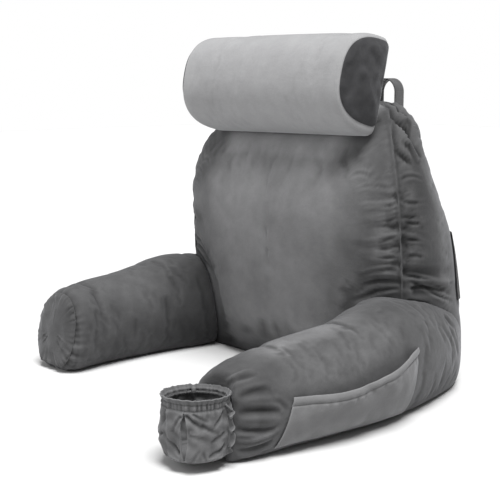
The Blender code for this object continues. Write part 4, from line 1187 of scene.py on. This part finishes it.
def pouch_surface(rows, angles):
    """Grid of the pouch's outer face: radius and height per row, at angles in degrees."""
    rows = smooth_rows(rows, 7)
    radius, z, gather = rows.T[:, :, None]
    turn = circle(angles)
    fine, finer, body = (waves(turn, length, seed)
                         for length, seed in ((0.17, 41), (0.10, 42), (0.60, 43)))
    for angle, rise, half in POUCH_GATHERS:
        away = np.abs((angles - angle + 180) % 360 - 180)
        radius = radius + gather * rise * bell(away, half)
    band = np.exp(-((z - ELASTIC_Z) / 0.0055) ** 2)
    above = smoothstep(0.095, 0.1035, z)
    below = 1 - smoothstep(0.080, 0.089, z)
    channels = sum(bell(z - channel, 0.0022) for channel in STITCHES_Z)
    radius = radius + (0.0011 * fine + 0.0009 * finer) * band - 0.0010 * channels
    radius = radius + (0.0007 * fine + 0.0003 * finer) * above
    radius = radius + below * (0.0008 * body * smoothstep(0.02, 0.05, z)
                               + 0.0010 * fine * smoothstep(0.070, 0.088, z))
    radius = radius + pouch_lumps(angles, z) * smoothstep(0.0135, 0.020, z)
    drop = 0.5 + 0.5 * np.cos(np.radians(angles - RIM_DROP_ANGLE))
    sag = RIM_DROP * np.clip((z - SLIT_Z[1]) / 0.02, 0, 1) * drop
    return np.stack([POUCH_X + radius * turn[:, 0], POUCH_Y + radius * turn[:, 1],
                     z - sag + 0.0003 * finer * above], 2)


def with_soft_slit(grid, angles, slit):
    """The slit's edges drawn together towards its ends and rolled outwards a little."""
    z = grid[:, 0, 2]
    middle, reach = sum(SLIT_Z) / 2, (SLIT_Z[1] - SLIT_Z[0]) / 2
    along = np.clip(np.abs(z - middle) / reach, 0, 1)
    narrowing = (0.80 * along ** 3)[:, None] * slit
    side = np.where(angles < SLIT_ANGLE + 180, 1.0, -1.0)[None]
    from_edge = np.minimum(angles - angles[0], angles[-1] - angles)[None]
    swing = np.radians(-side * narrowing * np.exp(-from_edge / 9.0))
    x, y = grid[..., 0] - POUCH_X, grid[..., 1] - POUCH_Y
    lip = 1 + 0.020 * np.exp(-(from_edge / 3.0) ** 2) * (1 - along[:, None] ** 4)
    return np.stack([(x * np.cos(swing) - y * np.sin(swing)) * lip + POUCH_X,
                     (x * np.sin(swing) + y * np.cos(swing)) * lip + POUCH_Y, grid[..., 2]], 2)


def build_pouch():
    """The pouch's wall, which a slit opens on one side, with its base and its rim."""
    slit = math.degrees(SLIT_HALF_WIDTH / POUCH_ROWS[3][0])
    angles = np.linspace(SLIT_ANGLE + slit, SLIT_ANGLE + 360 - slit, POUCH_COLUMNS)
    wall = with_soft_slit(pouch_surface(POUCH_ROWS, angles), angles, slit)
    grid = np.vstack([pouch_surface(POUCH_BASE_ROWS, angles), wall])
    rows, columns = grid.shape[:2]
    inner = grid + grid_normals(grid, POUCH_MIDDLE - grid) * POUCH_CLOTH
    points = np.vstack([grid.reshape(-1, 3), inner.reshape(-1, 3)])
    size = rows * columns
    z = grid[:, 0, 2]
    slit_rows = [r for r in range(rows - 1)
                 if SLIT_Z[0] <= z[r] and z[r + 1] <= SLIT_Z[1] + SLIT_END]
    faces, edges = [], []
    for face in grid_faces(rows, columns, True):
        row, column = divmod(face[0], columns)
        if column == columns - 1 and row in slit_rows:
            edges += [(face[0], face[3]), (face[1], face[2])]
        else:
            faces += [face, tuple(size + v for v in reversed(face))]
    edges += [(r * columns + columns - 1, r * columns) for r in (slit_rows[0], slit_rows[-1] + 1)]
    rim = [size - columns + c for c in range(columns)]
    edges += list(zip(rim, rim[1:] + rim[:1]))
    faces += [(a, b, size + b, size + a) for a, b in edges]
    faces += [tuple(range(columns)), tuple(size + c for c in reversed(range(columns)))]
    return new_piece("cup_pouch_cloth", points, faces)


pouch = build_pouch()
seat(pouch, trees_of("arm_right"), reach=0.01)
dress(pouch, GREY_POUCH, "cup_pouch")


RUFFLE_CLOTH = 0.0016
RUFFLE_SEAT = 0.0009
RUFFLE_WIDTH = 0.0080
RUFFLE_Z = (0.021, 0.092)
RUFFLE_WAVE = 0.0050
RUFFLE_PERIODS = 3.7


def build_ruffle(name, degrees, seed):
    """A ruffle that stands on the pouch's wall at an angle and waves from side to side."""
    share = np.linspace(0, 1, 110)
    part = np.linspace(0, 1, 9)
    z = RUFFLE_Z[0] + (RUFFLE_Z[1] - RUFFLE_Z[0]) * share
    rows = np.array(POUCH_ROWS)
    radius = np.interp(z, rows[:, 1], rows[:, 0]) + RUFFLE_SEAT
    phase = 2 * np.pi * (RUFFLE_PERIODS * share + 0.22 * waves(share[:, None], 0.35, seed))
    wave = RUFFLE_WAVE * np.sin(phase) * (1 + 0.25 * waves(share[:, None], 0.3, seed + 9))
    width = RUFFLE_WIDTH * (0.90 + 0.22 * np.cos(phase))
    width = width * smoothstep(-0.02, 0.06, share) * smoothstep(-0.02, 0.06, 1 - share)
    (outwards_x, outwards_y), = circle([degrees])
    outwards, across = np.array([(outwards_x, outwards_y, 0), (-outwards_y, outwards_x, 0)])
    centre = np.stack([np.full_like(z, POUCH_X), np.full_like(z, POUCH_Y), z], 1)
    grid = (centre[:, None] + outwards * (radius[:, None] + width[:, None] * part)[:, :, None]
            + across * (wave[:, None] * part ** 1.2)[:, :, None])
    return cloth_sheet(name, grid, RUFFLE_CLOTH, across, edge_share=0.4)


for name, degrees, seed in (("pouch_ruffle_outer", 22.0, 51), ("pouch_ruffle_inner", 158.0, 52)):
    ruffle = build_ruffle(name + "_cloth", degrees, seed)
    seat(ruffle, trees_of("arm_right"), reach=0.01)
    dress(ruffle, GREY_POUCH, name)


# ================================================================ arm end panel
# The arm's section behind the panel: y, x, half width, height, skew and squareness.
END_ROW = (-0.399, 0.260, 0.067, 0.149, 0.05, 2.2)
# The panel's share of that section, 1 less it, and how far in front of the section it is.
END_FORWARD = [(0.15, 0.024), (0.22, 0.0275), (0.45, 0.031), (0.72, 0.0325), (1.0, 0.033)]
END_SHARE = 0.85
END_LEAN = 0.20
END_CLOTH = 0.0012
END_SEAT = 0.0013


def end_ring(scale, turn, forward):
    """A ring of the end panel, a share of the arm's section, at points of a circle."""
    y0, x0, half_width, height, skew, square = END_ROW
    half_height = (height + ARM_SINK) / 2
    across, up = signed_power(turn, 2.0 / square).T
    out = half_width * across * scale
    rise = np.maximum(0.0, height - half_height + half_height * up) - height / 2
    y = y0 - forward - skew * out
    lean = np.clip((y0 + 0.060 - y) / 0.060, 0, 1)
    return np.stack([-(x0 + out), y + END_LEAN * rise * scale * lean,
                     height / 2 + rise * scale], -1)


def build_end_panel():
    """The end panel's sheet, with gathers at its edge and soft dents."""
    turn = circle(np.linspace(0, 360, 260, endpoint=False))
    scales = np.concatenate([[END_SHARE, 0.845, 0.838, 0.828, 0.815],
                             np.linspace(0.80, 0.03, 34)])
    forward = np.interp(1 - scales, *zip(*END_FORWARD))
    ripple = waves(turn, 0.26, 61)
    finer = waves(turn, 0.13, 62)
    grid = []
    for scale, ahead in zip(scales, forward):
        inwards = (END_SHARE - scale) * 0.07
        gather = (0.0024 * ripple * math.exp(-inwards / 0.009)
                  + 0.0018 * finer * math.exp(-inwards / 0.0055)) * min(1.0, inwards / 0.003)
        flat = end_ring(scale, turn, 0.0)[:, [0, 2]]
        soft = 0.0016 * waves(flat, 0.045, 63) * min(1.0, inwards / 0.02)
        grid.append(end_ring(scale, turn, ahead + END_SEAT + gather + soft))
    return cloth_sheet("end_panel_cloth", np.array(grid), END_CLOTH, (0, -1, 0),
                       edge_share=0.4, wrap=True, domed=True)


# ================================================================ neck roll
ROLL_HALF = 0.392 / 2
ROLL_HEIGHT = 0.164
ROLL_DEPTH = 0.105
ROLL_BACK_Y = -0.074
ROLL_BACK_Z = 0.505
ROLL_LEAN = math.radians(12.5)
ROLL_CORNER = 0.012
ROLL_SQUARENESS = 2.6
ROLL_TAPER = 0.05
ROLL_CORE = 0.45 * ROLL_DEPTH  # from the flat back to the middle of its section
ROLL_SWELL = 0.4               # the share of the simulated movement that it takes
# Distance inwards from the roll's end, and share of its section there.
ROLL_ENDS = [(0.000, 0.955), (0.0020, 0.974), (0.0065, 0.989), (0.015, 0.997), (0.045, 1.0)]
# The wrap turns in over the end: how far out, and its share of the section there.
ROLL_BORDER = [(0.0030, 0.70), (0.0030, 0.80), (0.0028, 0.88), (0.0022, 0.915), (0.0012, 0.938)]
# The end panel's outline is drawn in more at the bottom than at the top.
END_PANEL_TOP = 0.965
END_PANEL_BOTTOM = 0.860
# The end panel bulges: share of the section, and how far out.
ROLL_END_DOME = [(0.935, 0.0020), (0.88, 0.0042), (0.76, 0.0066), (0.43, 0.0105), (0.0, 0.0125)]


def roll_outline():
    half = ROLL_HEIGHT / 2
    power = 2.0 / ROLL_SQUARENESS
    angle = np.linspace(-math.pi / 2, math.pi / 2, 121)
    forward = ROLL_CORNER + (ROLL_DEPTH - ROLL_CORNER) * signed_power(np.cos(angle), power)
    arc = np.stack([forward, half * signed_power(np.sin(angle), power)], 1)
    corner = half - ROLL_CORNER
    swing = np.radians(np.array([20, 45, 70]))
    turn = np.stack([ROLL_CORNER * (1 - np.sin(swing)), corner + ROLL_CORNER * np.cos(swing)], 1)
    flat = np.stack([np.zeros(31), np.linspace(corner, -corner, 31)], 1)
    return np.vstack([arc, turn, flat, turn[::-1] * [1, -1]])


ROLL_OUTLINE = roll_outline()


def roll_ring(x, scale, outline=ROLL_OUTLINE):
    """The roll's section at x, turned to its lean and scaled about its core."""
    scale = scale * (1.0 + ROLL_TAPER * (0.5 - x / (2 * ROLL_HALF)))
    forward = ROLL_CORE + (outline[:, 0] - ROLL_CORE) * scale
    up = outline[:, 1] * scale
    y = ROLL_BACK_Y - forward * math.cos(ROLL_LEAN) + up * math.sin(ROLL_LEAN)
    z = ROLL_BACK_Z + up * math.cos(ROLL_LEAN) + forward * math.sin(ROLL_LEAN)
    return np.stack([np.full(len(y), x), y, z], 1)


def build_roll():
    ends = smooth_rows(ROLL_ENDS, 5)
    inward = np.concatenate([ends[:, 0], np.linspace(ROLL_ENDS[-1][0], ROLL_HALF, 40)[1:]])
    scales = np.concatenate([ends[:, 1], np.ones(39)])
    half = [(-ROLL_HALF - out, scale) for out, scale in ROLL_BORDER]
    half += [(-ROLL_HALF + at, scale) for at, scale in zip(inward, scales)]
    rings = [roll_ring(x, scale) for x, scale in half]
    rings += [roll_ring(-x, scale) for x, scale in half[-2::-1]]
    tips = [roll_ring(side * (ROLL_HALF + 0.008), 0.0)[0] for side in (-1, 1)]
    return closed_loft("neck_roll_wrap", np.array(rings), np.array(tips))


def build_roll_end(name, side, seed):
    """An end panel of the roll, bulging, with soft dents that fade out at its edge."""
    dome = smooth_rows(ROLL_END_DOME, 9)[:-1]
    outline = ROLL_OUTLINE.copy()
    outline[:, 1] *= np.where(outline[:, 1] > 0, END_PANEL_TOP, END_PANEL_BOTTOM)
    grid = np.array([roll_ring(side * (ROLL_HALF + 0.0012 + out), max(scale, 0.02), outline)
                     for scale, out in dome])
    place = grid.reshape(-1, 3)[:, 1:]
    dents = 0.0012 * waves(place, 0.060, seed) + 0.0006 * waves(place, 0.025, seed + 1)
    fade = np.clip((ROLL_END_DOME[0][0] - dome[:, 0]) / 0.15, 0, 1)[:, None]
    grid[:, :, 0] += side * dents.reshape(grid.shape[:2]) * fade
    return cloth_sheet(name, grid, END_CLOTH, (side, 0, 0), edge_share=0.4, wrap=True, domed=True)


roll = build_roll()
roll_neighbours = trees_of("back_cushion", "neck_roll_end_left", "neck_roll_end_right")
roll_shift = ROLL_SWELL * swell_shift(roll, roll_neighbours, voxel=0.006, growth=0.01)
points = get_points(roll) + roll_shift * freedom(roll, roll_neighbours)
set_points(roll, kept_clear(points, roll_neighbours[:1], reach=0.02))
# Faint painted highlights on ridges and painted shade in valleys.
set_nap_and_painted_light(roll, strength=0.10)
dress(roll, LIGHT, "neck_roll")

roll_tree = tree_of(roll)
for name, side, seed in (("neck_roll_end_left", -1, 71), ("neck_roll_end_right", 1, 73)):
    end = build_roll_end(name + "_cloth", side, seed)
    seat(end, [roll_tree], reach=0.02)
    dress(end, DARK, name)

end_panel = build_end_panel()
seat(end_panel, [tree_of(arm_left)], reach=0.012)
# A darker level, partly painted shade, with painted ridge highlights and valley shade away from its
# middle.
off_centre = np.linalg.norm(get_points(end_panel)[:, [0, 2]] - END_CENTRE, axis=1)
set_nap_and_painted_light(end_panel, 0.85, strength=0.26 * smoothstep(0.015, 0.040, off_centre))
dress(end_panel, GREY_ARM, "arm_left_end_panel")


# ================================================================ carry handle
HANDLE_X, HANDLE_Y, HANDLE_TOP = 0.116, 0.036, 0.520
HANDLE_RADIUS = 0.023
HANDLE_BAND = (0.024, 0.0024)  # width and thickness
# Where across the band its threads run, as shares of half its width.
BAND_COLUMNS = [-1, -0.93, -0.80, -0.72, -0.64, -0.40, -0.13, 0.13, 0.40, 0.64, 0.72, 0.80, 0.93, 1]


def build_handle():
    """A standing loop of band: two legs and half a circle."""
    bend = np.array([HANDLE_X, HANDLE_TOP - HANDLE_RADIUS])
    legs = np.linspace(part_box("carry_handle")[0].z + 0.001, bend[1], 22)
    arch = bend + HANDLE_RADIUS * circle(np.linspace(0, 180, 44)[1:-1])
    x = np.concatenate([np.full(22, HANDLE_X + HANDLE_RADIUS), arch[:, 0],
                        np.full(22, HANDLE_X - HANDLE_RADIUS)])
    z = np.concatenate([legs, arch[:, 1], legs[::-1]])
    y = HANDLE_Y + np.array(BAND_COLUMNS) * HANDLE_BAND[0] / 2
    grid = np.stack(np.broadcast_arrays(x[:, None], y, z[:, None]), 2)
    middle = np.array([HANDLE_X, HANDLE_Y, bend[1]])
    return cloth_sheet("carry_handle_band", grid, HANDLE_BAND[1], middle - grid, edge_share=0.3)


handle = build_handle()
seat(handle, trees_of("back_cushion"), reach=0.05)
dress(handle, WEBBING, "carry_handle")


# ================================================================ rear pocket
def build_rear_pocket():
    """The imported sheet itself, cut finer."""
    obj = solid_copy("rear_pocket_cloth", "rear_pocket")
    modify(obj, "SUBSURF", subdivision_type="SIMPLE", levels=2)
    return obj


rear_pocket = build_rear_pocket()
dress(rear_pocket, BLACK, "rear_pocket")


# ================================================================ stage
CAMERA_PLACE = (1.3122, -1.3329, 0.5166)
CAMERA_AIM = (-0.0183, -0.1716, 0.2213)
CAMERA_LENS_MM, CAMERA_SENSOR_MM = 72.85, 36.0
FLOOR_HALF = 8.0
FLOOR_TONES = (0.60, 0.61)
# Towards each light, its strength, and its width in degrees.
LIGHTS = dict(top=((0.30, -0.12, 0.95), 5.0, 30), front=((-0.35, -0.85, 0.50), 0.85, 50))
LIGHT_AWAY = 3.0
FILL_STRENGTH = 0.28           # of the world, which the camera sees as plain white


def build_stage():
    material, tree, shader, place = new_material("pale_floor")
    level = ramp(tree, noise(tree, place, 2.0, 2.0), [(0.0, FLOOR_TONES[0]), (1.0, FLOOR_TONES[1])])
    tree.links.new(level, shader.inputs["Base Color"])
    set_shader(shader, {"Roughness": 0.9, "Specular IOR Level": 0.1})
    mesh = bpy.data.meshes.new("floor")
    corners = [(x * FLOOR_HALF, y * FLOOR_HALF, 0) for x, y in ((-1, -1), (1, -1), (1, 1), (-1, 1))]
    mesh.from_pydata(corners, [], [(0, 1, 2, 3)])
    mesh.materials.append(material)
    link("floor", mesh)


def broad_light(name, towards, strength, spread):
    """A soft light so large and far away that it reaches the whole floor evenly."""
    light = bpy.data.lights.new(name, "SUN")
    light.energy = strength
    light.angle = math.radians(spread)
    obj = link(name, light)
    obj.location = Vector(towards) * LIGHT_AWAY
    obj.rotation_euler = (-Vector(towards)).to_track_quat("-Z", "Y").to_euler()


def build_lights():
    scene = bpy.context.scene
    scene.view_settings.view_transform = "Standard"
    world = scene.world or bpy.data.worlds.new("studio")
    scene.world = world
    world.use_nodes = True
    sky = world.node_tree
    fill = sky.nodes["Background"]
    fill.inputs["Color"].default_value = (1, 1, 1, 1)
    fill.inputs["Strength"].default_value = FILL_STRENGTH
    white = node(sky, "ShaderNodeBackground", Color=(1, 1, 1, 1), Strength=1.0)
    path = node(sky, "ShaderNodeLightPath")
    both = node(sky, "ShaderNodeMixShader")
    sky.links.new(path.outputs["Is Camera Ray"], both.inputs[0])
    sky.links.new(fill.outputs[0], both.inputs[1])
    sky.links.new(white.outputs[0], both.inputs[2])
    sky.links.new(both.outputs[0], sky.nodes["World Output"].inputs["Surface"])
    for name, values in LIGHTS.items():
        broad_light(name, *values)


def build_camera():
    data = bpy.data.cameras.new("camera")
    data.lens, data.sensor_width = CAMERA_LENS_MM, CAMERA_SENSOR_MM
    camera = link("camera", data)
    camera.location = CAMERA_PLACE
    aim = Vector(CAMERA_AIM) - camera.location
    camera.rotation_euler = aim.to_track_quat("-Z", "Y").to_euler()
    bpy.context.scene.camera = camera


build_stage()
build_lights()
build_camera()
